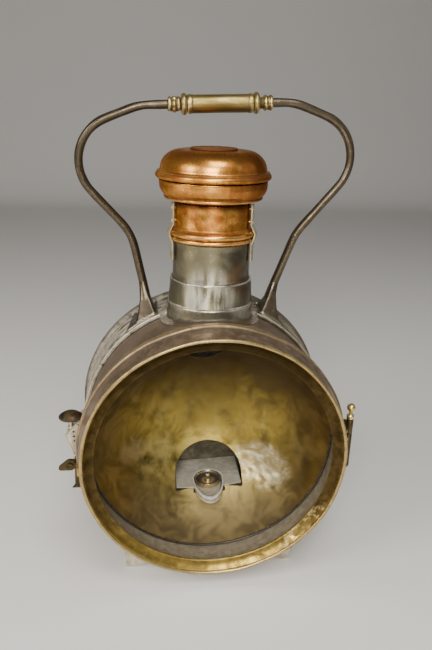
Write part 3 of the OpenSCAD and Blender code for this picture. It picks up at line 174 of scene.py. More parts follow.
def mesh_object(name, skins):
    """One mesh object from several skins, with their wear and dirt kept as point attributes."""
    verts, quads, tris, marks, count = [], [], [], [], 0
    for v, q, t, k in skins:
        verts.append(v)
        marks.append(k)
        quads.append(q + count)
        tris.append(t + count)
        count += len(v)
    verts, marks, quads, tris = np.vstack(verts), np.vstack(marks), np.vstack(quads), np.vstack(tris)
    mesh = bpy.data.meshes.new(name)
    mesh.vertices.add(len(verts))
    mesh.vertices.foreach_set("co", to_frame(verts).astype(np.float32).ravel())
    corners = np.concatenate([quads.ravel(), tris.ravel()])
    mesh.loops.add(len(corners))
    mesh.loops.foreach_set("vertex_index", corners.astype(np.int32))
    starts = np.concatenate([np.arange(len(quads)) * 4, len(quads) * 4 + np.arange(len(tris)) * 3])
    mesh.polygons.add(len(starts))
    mesh.polygons.foreach_set("loop_start", starts.astype(np.int32))
    mesh.polygons.foreach_set("use_smooth", np.ones(len(starts), bool))
    mesh.update(calc_edges=True)
    mesh.validate()
    for i, key in enumerate(("wear", "dirt")):
        mesh.attributes.new(key, "FLOAT", "POINT").data.foreach_set("value", marks[:, i].astype(np.float32))
    obj = bpy.data.objects.new(name, mesh)
    bpy.context.scene.collection.objects.link(obj)
    return obj


SLOTS = {s["node"]: s["material_slot"] for s in frame["record"]["subparts"]}


def piece(name, skins, material, body, replaces=(), wall=None, slot=None):
    """A visible piece: its mesh, finish, body and the nodes that it stands for. wall makes a sheet solid."""
    obj = mesh_object(name, skins)
    obj.data.materials.append(material)
    if wall:
        solid = obj.modifiers.new("Wall", "SOLIDIFY")
        solid.thickness, solid.offset = wall[0] * MM, wall[1]
    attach(obj, body)
    if replaces:
        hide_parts(*replaces)
        slot = slot or SLOTS[replaces[0]]


def cover(node, skins, look, body):
    """The skin of one node, in the finish of that name."""
    piece(node + "_skin", skins, finish(look), body, (node,))


def dress(nodes, look, bevel):
    """Frame nodes that stay: their finish, corners rounded by bevel millimetres, and smooth curves."""
    for node in nodes.split():
        obj = frame["nodes"][node]
        obj.data.materials.clear()
        obj.data.materials.append(finish(look))
        obj.data.polygons.foreach_set("use_smooth", np.ones(len(obj.data.polygons), bool))
        obj.modifiers.new("Weld", "WELD").merge_threshold = WELD_DISTANCE
        if bevel:
            edge = obj.modifiers.new("Edges", "BEVEL")
            edge.width, edge.segments, edge.limit_method = bevel * MM, 2, "ANGLE"
            edge.angle_limit = np.radians(SMOOTH_ANGLE)
        obj.modifiers.new("Split", "EDGE_SPLIT").split_angle = np.radians(SMOOTH_ANGLE)


def arc(centre, radius, start, end, count=9):
    """Points on a circle between two angles in degrees."""
    a = np.radians(np.linspace(start, end, count))
    return np.stack([centre[0] + radius * np.cos(a), centre[1] + radius * np.sin(a)], 1)


def fillet(line, radius, closed=True, count=4):
    """Rounds the corners of a line: each gives way to a parabola from radius before it to radius after it."""
    line = np.asarray(line, float)
    radius = np.broadcast_to(radius, len(line)).astype(float)
    before, after = np.roll(line, 1, 0) - line, np.roll(line, -1, 0) - line
    size = [np.linalg.norm(v, axis=1) for v in (before, after)]
    cut = np.minimum(radius, 0.48 * np.minimum(*size))
    if not closed:
        cut[[0, -1]] = 0
    a = line + before / np.maximum(size[0], 1e-9)[:, None] * cut[:, None]
    b = line + after / np.maximum(size[1], 1e-9)[:, None] * cut[:, None]
    s = np.linspace(0, 1, count)[None, :, None]
    out = ((1 - s) ** 2 * a[:, None] + 2 * s * (1 - s) * line[:, None] + s**2 * b[:, None]).reshape(-1, 2)
    keep = np.linalg.norm(out - np.roll(out, 1, 0), axis=1) > 1e-6
    keep[0] = True
    return out[keep]


def resample(line, step, closed=True):
    """Adds points on the long sides of a line, so that none is longer than step."""
    line = np.asarray(line, float)
    ends = np.roll(line, -1, 0) if closed else line[1:]
    starts = line if closed else line[:-1]
    pieces = [a + (b - a) * np.linspace(0, 1, max(1, int(np.ceil(np.linalg.norm(b - a) / step))),
        endpoint=False)[:, None] for a, b in zip(starts, ends)]
    return np.vstack(pieces if closed else pieces + [line[-1:]])


def edge_marks(profile, closed):
    """How much each point of a profile stands out (wear) or lies in a corner (dirt): its turning over its
    spacing, times EDGE_REACH, smoothed over EDGE_BLUR millimetres."""
    p = np.asarray(profile, float)
    before, after = p - np.roll(p, 1, 0), np.roll(p, -1, 0) - p
    if not closed:
        before[0], after[-1] = after[0], before[-1]
    turn = np.arctan2(before[:, 0] * after[:, 1] - before[:, 1] * after[:, 0], (before * after).sum(1))
    spacing = (np.linalg.norm(before, axis=1) + np.linalg.norm(after, axis=1)) / 2
    bend = turn / np.maximum(spacing, EDGE_SPACING) * EDGE_REACH
    area = (p[:, 0] * np.roll(p[:, 1], -1) - np.roll(p[:, 0], -1) * p[:, 1]).sum()
    bend = bend * (1 if area > 0 else -1) if closed else bend
    gap = np.linalg.norm(p[:, None] - p[None], axis=2)
    weight = np.exp(-((gap / EDGE_BLUR) ** 2))
    soft = weight @ bend / weight.sum(1)
    return np.clip(soft, 0, 1), np.clip(-soft, 0, 1)


def upright(x, y):
    """An upright axis: its origin, its direction and where its angles start."""
    return (x, y, 0), (0, 0, 1), (1, 0, 0)


DRUM_AXIS = ((0, 0, 0), (0, 1, 0), (0, 0, 1))
CHIMNEY_AXIS = upright(0, FLUE_Y)


def lathe(profile, axis=DRUM_AXIS, around=160, closed=True, poles=(False, False), warp=None, flip=None):
    """Turns a profile of (radius, height) points about an axis: the point at angle a lies at height along the
    axis and at radius times (cos a along the first cross direction + sin a along the second)."""
    origin, along, start = (np.asarray(v, float) for v in axis)
    across = np.cross(along, start)
    profile = np.asarray(profile, float)
    a = np.linspace(0, 2 * np.pi, around, endpoint=False)
    turn = np.cos(a)[:, None] * start + np.sin(a)[:, None] * across
    points = origin + profile[:, 1, None, None] * along + profile[:, 0, None, None] * turn[None]
    wear, dirt = edge_marks(profile, closed)
    if warp is not None:
        points = warp(points)
    return skin(points, (closed, True), poles, wear[:, None], dirt[:, None], flip)


def closed_lathe(profile, axis, around, warp=None):
    """Turns an open profile about an axis and closes both its ends there."""
    return lathe(profile, axis, around, False, (True, True), warp)


def waves(points, size, seed, count=9):
    """A smooth random field from -1 to 1: the mean of sine waves of about one size in random directions."""
    rng = np.random.default_rng(seed)
    ways = rng.normal(size=(count, 3))
    ways /= np.linalg.norm(ways, axis=1)[:, None]
    ways *= (2 * np.pi / size) * rng.uniform(0.6, 1.6, count)[:, None]
    return np.sin(points @ ways.T + rng.uniform(0, 6.28, count)).sum(-1) / np.sqrt(count) * 0.8


def off_axis(points, axis, push):
    """Points moved straight away from an axis by push."""
    origin, along, _ = (np.asarray(v, float) for v in axis)
    rel = points - origin
    rel = rel - (rel @ along)[..., None] * along
    return points + rel / np.maximum(np.linalg.norm(rel, axis=-1, keepdims=True), 1e-9) * push[..., None]


def dented(axis, fields):
    """A warp that pushes points away from the axis by the sum of fields, each (size, height, seed)."""
    def warp(points):
        push = sum(height * waves(points, size, seed) for size, height, seed in fields)
        return off_axis(points, axis, push)
    return warp


def sweep(path, radii, sides):
    """A round bar along a path in the plane y = constant: each section is its radius times (cos t along the
    path's cross direction + sin t along y)."""
    ahead = np.gradient(path, axis=0)
    ahead /= np.linalg.norm(ahead, axis=1)[:, None]
    flat = np.array([0.0, 1.0, 0.0])
    side = np.cross(flat, ahead)
    side /= np.linalg.norm(side, axis=1)[:, None]
    t = np.linspace(0, 2 * np.pi, sides, endpoint=False)[None, :, None]
    r = radii[:, None, None]
    return skin(path[:, None] + r * np.cos(t) * side[:, None] + r * np.sin(t) * flat,
        (False, True), (True, True))


def slab(corner, thick, lift, counts):
    """A plate on a curved surface: corner maps (s, t) in 0..1 to (x, y), lift maps (x, y) to a height, and
    the plate's section runs over the top and back under it, thick lower."""
    s = np.linspace(0, 1, counts[0])[:, None]
    t = np.linspace(0, 1, counts[1])
    x, y = corner(s, t)
    top = np.stack([x, y, lift(x, y) + thick], -1)
    low = np.stack([x, y, lift(x, y)], -1)
    ring = np.concatenate([top, low[:, ::-1]], 1)
    wear = np.zeros(ring.shape[:2])
    wear[[0, -1], : counts[1]] = 0.6
    wear[:, [0, counts[1] - 1]] = 0.6
    return skin(ring, (False, True), (True, True), wear)


def rivet_heads(places, normals):
    """Domed heads: each a quarter circle of RIVET_R by RIVET_H turned about its normal."""
    out = []
    a = np.linspace(0.0, np.pi / 2 * 0.92, 5)
    profile = np.vstack([[RIVET_R, -0.3], np.stack([RIVET_R * np.cos(a), RIVET_H * np.sin(a)], 1)])
    for place, normal in zip(np.asarray(places, float), np.asarray(normals, float)):
        normal = normal / np.linalg.norm(normal)
        start = np.cross(normal, [0.31, 0.45, 0.84])
        start /= np.linalg.norm(start)
        v, q, t, k = closed_lathe(profile, (place, normal, start), RIVET_SIDES)
        k[:, 0], k[:, 1] = 0.55, 0.0
        out.append((v, q, t, k))
    return out


def turned_inside(points):
    """Turns the reflector's and burner's shapes about the drum's axis by INNER_TURN degrees."""
    a = np.radians(INNER_TURN)
    x, z = points[..., 0], points[..., 2]
    return np.stack([x * np.cos(a) + z * np.sin(a), points[..., 1], -x * np.sin(a) + z * np.cos(a)], -1)


# ---------------------------------------------------------------- finishes


class Shade:
    """A socket of a material's nodes, so that shader maths reads as plain arithmetic."""

    def __init__(self, tree, socket):
        self.tree, self.socket = tree, socket

    def node(self, kind, settings=None, inputs=None, output=0):
        """Adds a node: its settings first, then the values or links of its sockets."""
        new = self.tree.nodes.new("ShaderNode" + kind)
        for key, value in (settings or {}).items():
            setattr(new, key, value)
        for key, value in (inputs or {}).items():
            if isinstance(value, Shade):
                self.tree.links.new(value.socket, new.inputs[key])
            else:
                new.inputs[key].default_value = value
        return Shade(self.tree, new.outputs[output])

    def maths(self, operation, *values):
        """A Math node on sockets or numbers."""
        return self.node("Math", {"operation": operation}, dict(enumerate(values)))

    def __add__(self, other):
        return self.maths("ADD", self, other)

    __radd__ = __add__

    def __mul__(self, other):
        return self.maths("MULTIPLY", self, other)

    __rmul__ = __mul__

    def __sub__(self, other):
        return self.maths("SUBTRACT", self, other)

    def __rsub__(self, other):
        return self.maths("SUBTRACT", other, self)

    def __pow__(self, other):
        return self.maths("POWER", self, other)

    def __neg__(self):
        return self * -1.0

    def high(self, other):
        """The greater of the two."""
        return self.maths("MAXIMUM", self, other)

    def step(self, low, high, start=0.0, end=1.0):
        """Rises smoothly from start at low to end at high."""
        return self.node("MapRange", {"interpolation_type": "SMOOTHSTEP"},
            {0: self, 1: low, 2: high, 3: start, 4: end})

    def fall(self, low, high):
        """Falls smoothly from 1 at low to 0 at high."""
        return self.step(low, high, 1.0, 0.0)

    def ragged(self, field, amount):
        """This, moved up or down by a noise field, so that its borders fray."""
        return self + (field - 0.5) * amount

    def mix(self, a, b):
        """Colour a where this is 0, and b where it is 1."""
        a, b = (v if isinstance(v, Shade) else (*v[:3], 1.0) for v in (a, b))
        return self.node("Mix", {"data_type": "RGBA"}, {0: self, 6: a, 7: b}, 2)


class Finish:
    """A material in the making: object coordinates in millimetres of pattern size, and its final shader."""

    def __init__(self, name):
        self.material = bpy.data.materials.new(name)
        self.material.use_nodes = True
        self.tree = self.material.node_tree
        self.tree.nodes.clear()
        self.root = Shade(self.tree, None)
        self.coords = self.root.node("TexCoord", output=3)
        self.colour = self.rough = self.metal = self.height = None
        self.bump_strength, self.bump_mm = 0.5, 0.3

    def place(self, centre=(0, 0, 0), stretch=(1, 1, 1)):
        """Coordinates measured from a point in lantern millimetres, stretched per axis."""
        shift = [-v for v in (np.array(centre) * MM + ORIGIN)]
        moved = self.root.node("VectorMath", {"operation": "ADD"}, {0: self.coords, 1: shift})
        return self.root.node("VectorMath", {"operation": "MULTIPLY"}, {0: moved, 1: stretch})

    def axes(self, *which):
        """Lantern coordinates, in metres: 0, 1 and 2 for x, y and z."""
        at = self.place()
        return [self.root.node("SeparateXYZ", None, {0: at}, i) for i in which]

    def near(self, centre, reach, soft=0.5, stretch=(1, 1, 1)):
        """1 within soft times reach millimetres of a point, falling to 0 at reach."""
        away = self.root.node("VectorMath", {"operation": "LENGTH"}, {0: self.place(centre, stretch)}, 1)
        return away.fall(reach * soft * MM, reach * MM)

    def noise(self, size, detail=4.0, rough=0.55, stretch=(1, 1, 1), seed=0.0, distort=0.0):
        """Fractal noise whose features are about size millimetres."""
        at = self.root.node("VectorMath", {"operation": "MULTIPLY_ADD"},
            {0: self.coords, 1: stretch, 2: (seed * 0.37, seed * 0.21, seed * 0.53)})
        return self.root.node("TexNoise", None, {"Vector": at, "Scale": 1000.0 / size, "Detail": detail,
            "Roughness": rough, "Distortion": distort})

    def mark(self, name):
        """A point attribute of the piece, such as wear or dirt."""
        return self.root.node("Attribute", {"attribute_name": name}, output=2)

    def up(self):
        """How far the surface faces up, from -1 to 1."""
        normal = Shade(self.tree, self.coords.socket.node.outputs["Normal"])
        return self.root.node("SeparateXYZ", None, {0: normal}, 2)

    def lay(self, mask, tone):
        """Lays a colour over what is there, as far as the mask goes from 0 to 1."""
        self.colour = mask.mix(self.colour, tone)

    def done(self, **fixed):
        """Joins what was gathered, its bump and fixed values by socket name to the material's shader."""
        shader = self.tree.nodes.new("ShaderNodeBsdfPrincipled")
        put = {"Base Color": self.colour, "Roughness": self.rough, "Metallic": self.metal, **fixed}
        for key, value in put.items():
            if isinstance(value, Shade):
                self.tree.links.new(value.socket, shader.inputs[key])
            else:
                shader.inputs[key].default_value = (*value[:3], 1.0) if np.ndim(value) else value
        if self.height is not None:
            bump = self.root.node("Bump", None,
                {"Strength": self.bump_strength, "Distance": self.bump_mm * MM, "Height": self.height})
            self.tree.links.new(bump.socket, shader.inputs["Normal"])
        out = self.tree.nodes.new("ShaderNodeOutputMaterial")
        self.tree.links.new(shader.outputs[0], out.inputs[0])
        return self.material


def old_metal(name, base, dark, light, worn, grime=(0.035, 0.028, 0.02), dust=(0.33, 0.30, 0.25),
        metallic=0.9, rough=(0.28, 0.55), blotch=38.0, mid=9.0, fine=1.3, dusty=0.25, worn_rough=0.24,
        bump=0.12, stretch=(1, 1, 1), extra=None, seed=0.0, light_amount=0.5, specks=0.35, edge=(1, 1, 1)):
    """Tarnished metal: a base colour with dark and light patches, pits, bright worn edges, grime in corners
    and dust on what faces up. extra may add to it and give back another wear."""
    f = Finish(name)
    big = f.noise(blotch, 6.0, 0.6, stretch, seed + 1)
    middle = f.noise(mid, 6.0, 0.62, stretch, seed + 2, 0.4)
    small = f.noise(fine, 3.0, 0.6, stretch, seed + 3)
    wear = f.mark("wear").step(0.08, 0.75) * middle.step(0.3, 0.62, 0.35, 1.0)
    dirt = f.mark("dirt").step(0.05, 0.6)
    patch = (big * 0.65 + middle * 0.35).step(0.40, 0.60)
    f.colour = patch.mix(dark, base)
    f.lay(middle.step(0.52, 0.72) * light_amount, light)
    speck = small.step(0.62, 0.74) * specks
    f.lay(speck, grime)
    f.rough = patch.step(0, 1, rough[1], rough[0]) + (small - 0.5) * 0.14 + speck * 0.2
    f.metal = (1 - speck * 0.5) * metallic
    f.height = middle * 0.7 + small * 0.3 - speck * 0.4
    f.bump_mm, f.bump_strength = bump, 0.6
    if extra:
        wear = extra(f, dict(big=big, middle=middle, small=small, wear=wear)) or wear
    f.lay(wear, worn)
    f.rough = f.rough * (1 - wear) + wear * worn_rough
    f.lay(dirt * 0.85, grime)
    f.rough += dirt * 0.25
    if dusty:
        powder = f.up().step(0.15, 0.95) * middle.step(0.3, 0.7) * dusty + dirt * dusty * 0.3
        f.lay(powder, dust)
        f.metal *= 1 - powder * 0.8
        f.rough += powder * 0.3
    f.metal *= 1 - dirt * 0.6
    return f.done(**{"Specular Tint": (*edge, 1.0)})


def colour(key):
    """A colour of the panel."""
    return tuple(getattr(bpy.context.scene.lantern_colours, key))


def size(key):
    """A size of the panel, in millimetres."""
    return getattr(bpy.context.scene.lantern_sizes, key) / MM


FINISHES = {}


def finish(name):
    """Each finish is made once, the first time that a piece asks for it."""
    if name not in FINISHES:
        FINISHES[name] = MAKERS[name]()
    return FINISHES[name]


def make_paint():
    """Old purple-brown paint outside the drum, and inside it a paler dull colour, painted light for the lit
    inner wall.
    """
    f = Finish("drum_paint")
    big, middle, small = (f.noise(45, 6, 0.62, seed=4), f.noise(7, 6, 0.65, seed=5),
        f.noise(1.1, 3, 0.6, seed=6))
    x, z = f.axes(0, 2)
    base = colour("paint")
    f.colour = big.step(0.35, 0.65).mix([c * 0.7 for c in base], base)
    f.lay(middle.step(0.52, 0.75) * 0.6, [c * 1.5 + 0.01 for c in base])
    chips = (middle * 0.6 + small * 0.4).step(0.60, 0.66) * big.step(0.45, 0.6)
    f.lay(chips * 0.7, (0.20, 0.13, 0.07))
    wear = f.mark("wear").step(0.1, 0.7) * middle.step(0.35, 0.6)
    f.lay(wear, (0.38, 0.31, 0.21))
    powder = f.up().step(0.2, 1.0) * (middle * 0.5 + big * 0.5).step(0.38, 0.7) * 0.22
    f.lay(powder, (0.32, 0.27, 0.21))
    # Painted light: the drum's inside takes a paler colour than its paint, standing in for the light on its
    # inner wall.
    inside = ((x ** 2 + z ** 2) ** 0.5).fall(LIT_INSIDE_R * MM, PAINT_R * MM)
    f.lay(inside, middle.step(0.35, 0.65).mix((0.25, 0.205, 0.15), (0.38, 0.32, 0.24)))
    f.metal = wear * 0.7 + inside * 0.25
    f.rough = 0.40 + middle * 0.2 + powder * 0.3
    f.height = middle * 0.6 + small * 0.3 - chips * 0.5
    f.bump_mm = 0.14
    return f.done()


def make_reflector():
    """Old brass bowl: gold in the middle, painted dark brown at the top as painted shade, dull below, with
    what is left of its plating, and painted highlights round the arch.
    """
    f = Finish("reflector_brass")
    big, middle, small = (f.noise(75, 6, 0.55, seed=11, distort=0.5),
        f.noise(24, 6, 0.6, seed=12, distort=0.8), f.noise(1.6, 3, 0.6, seed=13))
    x, z = f.axes(0, 2)
    r = (x ** 2 + z ** 2) ** 0.5
    gold = colour("reflector")
    f.colour = (middle * 0.55 + big * 0.45).step(0.38, 0.60).mix([c * 0.45 for c in gold], gold)
    pale = f.noise(30, 6, 0.65, (1, 1, 0.6), 15, 1.0).step(0.50, 0.68) * 0.25
    f.lay(pale, (0.74, 0.60, 0.26))
    tan = (f.noise(30, 6, 0.65, seed=18) + (x - 0.03) * 1.2 + (z - 0.02) * 0.8).step(0.46, 0.70) * 0.4
    f.lay(tan, (0.26, 0.155, 0.045))
    # Painted shade: the top of the bowl is darkened.
    top = (z + (big - 0.5) * 0.07 - x.maths("ABSOLUTE", x) * 0.1).step(-0.015, 0.080)
    f.lay(top * 0.95, (0.065, 0.040, 0.012))
    low = (-z).ragged(big, 0.05).step(0.055, 0.115)
    f.lay(low * 0.8, middle.step(0.38, 0.60).mix((0.14, 0.10, 0.045), (0.25, 0.19, 0.09)))
    dull = (r + (big - 0.5) * 0.04 + (middle - 0.5) * 0.02).step(0.080, 0.124)
    f.lay(dull * 0.66, middle.step(0.40, 0.62).mix((0.115, 0.078, 0.035), (0.23, 0.16, 0.07)))
    streak = f.noise(15, 6, 0.62, (0.6, 1.0, 1.3), 16.0, 0.8)
    left = f.near((-84, 80, -34), 32, 0.1, (1, 0.3, 1))
    right = f.near((66, 98, -58), 44, 0.30, (1, 0.3, 1.2))
    plate = (right + (middle - 0.5) * 0.9 + (streak - 0.5) * 0.5).step(0.20, 1.0)
    marks = f.noise(9, 6, 0.7, (0.7, 1, 1.2), 19.0).step(0.42, 0.58)
    f.lay(plate * 0.9, (streak.step(0.36, 0.60) * (marks * 0.6 + 0.4)).mix((0.52, 0.37, 0.14),
        (0.99, 0.86, 0.62)))
    # Painted highlight: bright gold left of the arch.
    painted_glint = f.near((-56, 106, -50), 34, 0.1, (1, 0.3, 1))
    f.lay(painted_glint * (middle * 0.6 + streak * 0.4).step(0.38, 0.62) * 0.7, (0.82, 0.64, 0.24))
    centre = f.near((8, 113, 12), 62, 0.2, (1, 0.3, 1))
    f.lay(centre * 0.55, (0.15, 0.10, 0.026))
    low_gold = f.near((-20, 108, -92), 34, 0.3, (0.8, 0.3, 1)) * streak.step(0.40, 0.60)
    f.lay(low_gold * 0.45, (0.50, 0.36, 0.12))
    # Painted highlight: a gold glow round the arch.
    halo = f.near((-6, 118, -54), 40, 0.6, (1, 0.3, 1)) * (middle * 0.5 + streak * 0.5).step(0.42, 0.56)
    f.lay(halo * (1 - plate) * 0.5, (0.80, 0.60, 0.17))
    plate_left = left.ragged(middle, 1.2).step(0.40, 1.1)
    f.lay(plate_left * 0.4, (0.70, 0.53, 0.30))
    dark = f.noise(44, 6, 0.58, (1, 1, 0.7), 17, 1.2).step(0.48, 0.68) * 0.62 * (1 - plate * 0.8)
    f.lay(dark, (0.085, 0.052, 0.016))
    speck = small.step(0.62, 0.76) * 0.55
    f.lay(speck, (0.055, 0.036, 0.016))
    f.metal = 1 - speck * 0.5 - dark * 0.3 - low * 0.2
    f.rough = 0.33 + (middle - 0.5) * 0.4 + (streak - 0.5) * 0.2 + dark * 0.2 - plate * 0.04
    f.rough = f.rough + low * 0.12 + r * 0.6
    f.height = middle * 0.5 + small * 0.2
    f.bump_mm = 0.12
    return f.done()


def make_glass():
    """Clear thin glass: see-through where it faces the eye, with a faint gloss."""
    material = bpy.data.materials.new("clear_glass")
    material.use_nodes = True
    tree = material.node_tree
    tree.nodes.clear()
    root = Shade(tree, None)
    clear = root.node("BsdfTransparent", None, {0: (0.97, 0.98, 0.975, 1)})
    gloss = root.node("BsdfGlossy", None, {"Roughness": 0.03, "Color": (1, 1, 1, 1)})
    edge = root.node("Fresnel", None, {"IOR": 1.1})
    both = root.node("MixShader", None, {0: edge, 1: clear, 2: gloss})
    out = tree.nodes.new("ShaderNodeOutputMaterial")
    tree.links.new(both.socket, out.inputs[0])
    return material


def make_floor():
    """Plain dull floor."""
    f = Finish("studio_floor")
    f.colour, f.rough, f.metal = colour("floor"), 0.9, 0.0
    return f.done()


def make_wick():
    """Cotton, burnt dark on top."""
    f = Finish("cotton_wick")
    f.colour = f.noise(1.0).step(0.4, 0.6).mix((0.5, 0.45, 0.36), (0.8, 0.75, 0.66))
    f.lay(f.up().step(0.5, 0.9), (0.05, 0.04, 0.035))
    f.rough, f.metal, f.height = 0.95, 0.0, f.noise(0.5)
    return f.done()


def bevel_extra(f, n):
    """The bevel's brass is painted dark brown at the top and sides as painted shade, darkest at the top, so
    that it shows bright with worn edges only at the bottom, and a painted highlight patch lies at its lower
    right.
    """
    x, z = f.axes(0, 2)
    low = (-z).ragged(n["big"], 0.05).step(0.035, 0.115)
    # Painted highlight patch at the lower right.
    painted_glint = f.near((96, 4, -86), 44, 0.35) * n["middle"].step(0.45, 0.62)
    bright = low.high(painted_glint)
    # Painted shade: dark brown over the top and sides, leaving the bottom bright.
    brown = n["middle"].step(0.35, 0.65).mix((0.030, 0.018, 0.006), (0.075, 0.048, 0.017))
    f.lay((1 - bright) * 0.97, brown)
    # Painted shade: darker still at the top.
    f.lay(z.step(0.06, 0.12) * 0.7, (0.016, 0.010, 0.004))
    f.lay(painted_glint * 0.7, (0.85, 0.67, 0.32))
    f.rough = f.rough + (1 - bright) * 0.10 - painted_glint * 0.08
    # Worn edges are kept mostly at the bright bottom, as painted light.
    return n["wear"] * (0.10 + 0.6 * bright)


def tube_extra(f, n):
    """Brown stains on the tube, painted shade in a dent and down its right side, and upright painted
    highlights on the polished front of its collar.
    """
    stain = f.near((26, 64, 176), 22, 0.25, (1, 1, 0.8)).high(f.near((41, 78, 158), 24, 0.2, (1, 1, 1.6)))
    f.lay(stain * 0.8, (0.24, 0.125, 0.055))
    # Painted shade in the dent.
    dent = f.near((23, 63, 199), 16, 0.2, (1.2, 1, 1)) * n["middle"].step(0.3, 0.5)
    f.lay(dent * 0.85, (0.075, 0.062, 0.042))
    x, = f.axes(0)
    # Painted shade: the right side darkened.
    f.lay(x.ragged(n["big"], 0.03).step(0.008, 0.036) * 0.7, (0.085, 0.07, 0.048))
    # Painted highlight: upright light bands on the polished front of the collar, which is also made less
    # rough.
    polish_and_sheen = f.near((-7, 54, 157), 38, 0.2)
    sheen_bands = f.noise(12, 4, 0.6, (1.0, 1.0, 0.15), 28.0).step(0.40, 0.62)
    f.lay(polish_and_sheen * sheen_bands * 0.85, (0.80, 0.78, 0.68))
    f.rough = f.rough - polish_and_sheen * 0.06


def saddle_extra(f, n):
    """Round its foot the flue's wall is soldered to the painted drum, in pale rough lobes at both sides."""
    x, y = f.axes(0, 1)
    out = (x ** 2 + (y - FLUE_Y * MM) ** 2) ** 0.5
    flange = out.ragged(n["middle"], 0.004).step(0.0450, 0.0463)
    base = [c * 0.85 for c in colour("paint")]
    lobes = (x.maths("ABSOLUTE", x).step(0.024, 0.046) * 0.5 + n["middle"] * 0.6).step(0.66, 0.80)
    f.lay(flange, lobes.mix(base, n["small"].step(0.4, 0.6).mix((0.12, 0.10, 0.07), (0.32, 0.28, 0.22))))
    f.metal *= 1 - flange * 0.7
    f.rough += flange * 0.15
    f.height += lobes * flange * (n["small"] * 1.5 + 1)
    return n["wear"] * (1 - flange)


def iron_extra(f, n):
    """The left limb of the handle is darker than the right."""
    x, = f.axes(0)
    f.lay((-x).step(0.03, 0.08) * 0.55, (0.05, 0.038, 0.024))


def grip_extra(f, n):
    """The grip's underside is darkened as painted shade."""
    f.lay(f.up().step(0.1, -0.7, 0.0, 1.0) * 0.75, (0.10, 0.068, 0.025))


def band_extra(f, n):
    """The beaded section is paler at its top left, and darkened at its lower left as painted shade."""
    x, z = f.axes(0, 2)
    pale = (z * 0.8 - x + (n["big"] - 0.5) * 0.04).step(0.06, 0.13) * n["middle"].step(0.3, 0.6)
    f.lay(pale * 0.75, (0.50, 0.46, 0.38))
    # Painted shade on the lower left side.
    low = (-x).step(0.06, 0.12) * (-z).step(-0.07, 0.0)
    f.lay(low * 0.5, (0.075, 0.06, 0.04))


def copper_extra(f, n):
    """Dull rings and upright streaks on the copper, with rosy and dark stains. Painted shade darkens its
    right side, the cup, the dome's left edge and its top with the disc, and a band of soot and painted shadow
    lies under the cup.
    """
    x, z = f.axes(0, 2)
    rings = f.noise(60, 5, 0.75, (0.05, 0.05, 6.0), 46.0)
    f.lay(rings.step(0.50, 0.66) * 0.3, (0.24, 0.085, 0.022))
    streaks = f.noise(8, 5, 0.7, (1.0, 1.0, 0.12), 47.0)
    # The streaks thicken to the right as painted shade.
    f.lay((streaks + x * 1.5).step(0.48, 0.64) * 0.6, (0.26, 0.085, 0.02))
    rosy = (f.noise(21, 5, 0.65, seed=49) - (x + 0.02) * 2.0).step(0.50, 0.66)
    f.lay(rosy * 0.35, (0.52, 0.16, 0.065))
    shade = x.ragged(n["middle"], 0.012).step(0.010, 0.036)
    f.lay(shade * 0.55, (0.32, 0.105, 0.030))
    # Painted shade on the cup.
    cup = z.step(0.2505, 0.2530) * z.fall(0.2660, 0.2680)
    f.lay(cup * 0.4, (0.40, 0.15, 0.04))
    # Painted shade on the dome's left edge.
    side = (-x).ragged(n["middle"], 0.014).step(0.020, 0.046) * z.step(0.268, 0.276)
    f.lay(side * 0.25, (0.32, 0.105, 0.030))
    # Painted shade on the dome's top and the disc.
    top = z.ragged(n["middle"], 0.008).step(0.283, 0.298)
    f.lay(top * 0.8, (0.26, 0.095, 0.028))
    stain = f.noise(15, 5, 0.72, seed=48).step(0.58, 0.70) * 0.7
    f.lay(stain, (0.11, 0.04, 0.013))
    # Soot and painted shadow under the cup, with painted shade on the right.
    soot = z.ragged(n["middle"], 0.004).step(0.2405, 0.2475) * z.fall(0.2500, 0.2515)
    f.lay(soot.high(x.step(0.022, 0.045) * 0.45), (0.10, 0.036, 0.012))
    f.rough = f.rough + stain * 0.12 + streaks.step(0.45, 0.7) * 0.06 + z.step(0.270, 0.278) * 0.03
    hidden = z.step(0.2645, 0.2665) * z.fall(0.2705, 0.2712)
    return n["wear"] * (1 - soot.high(hidden))


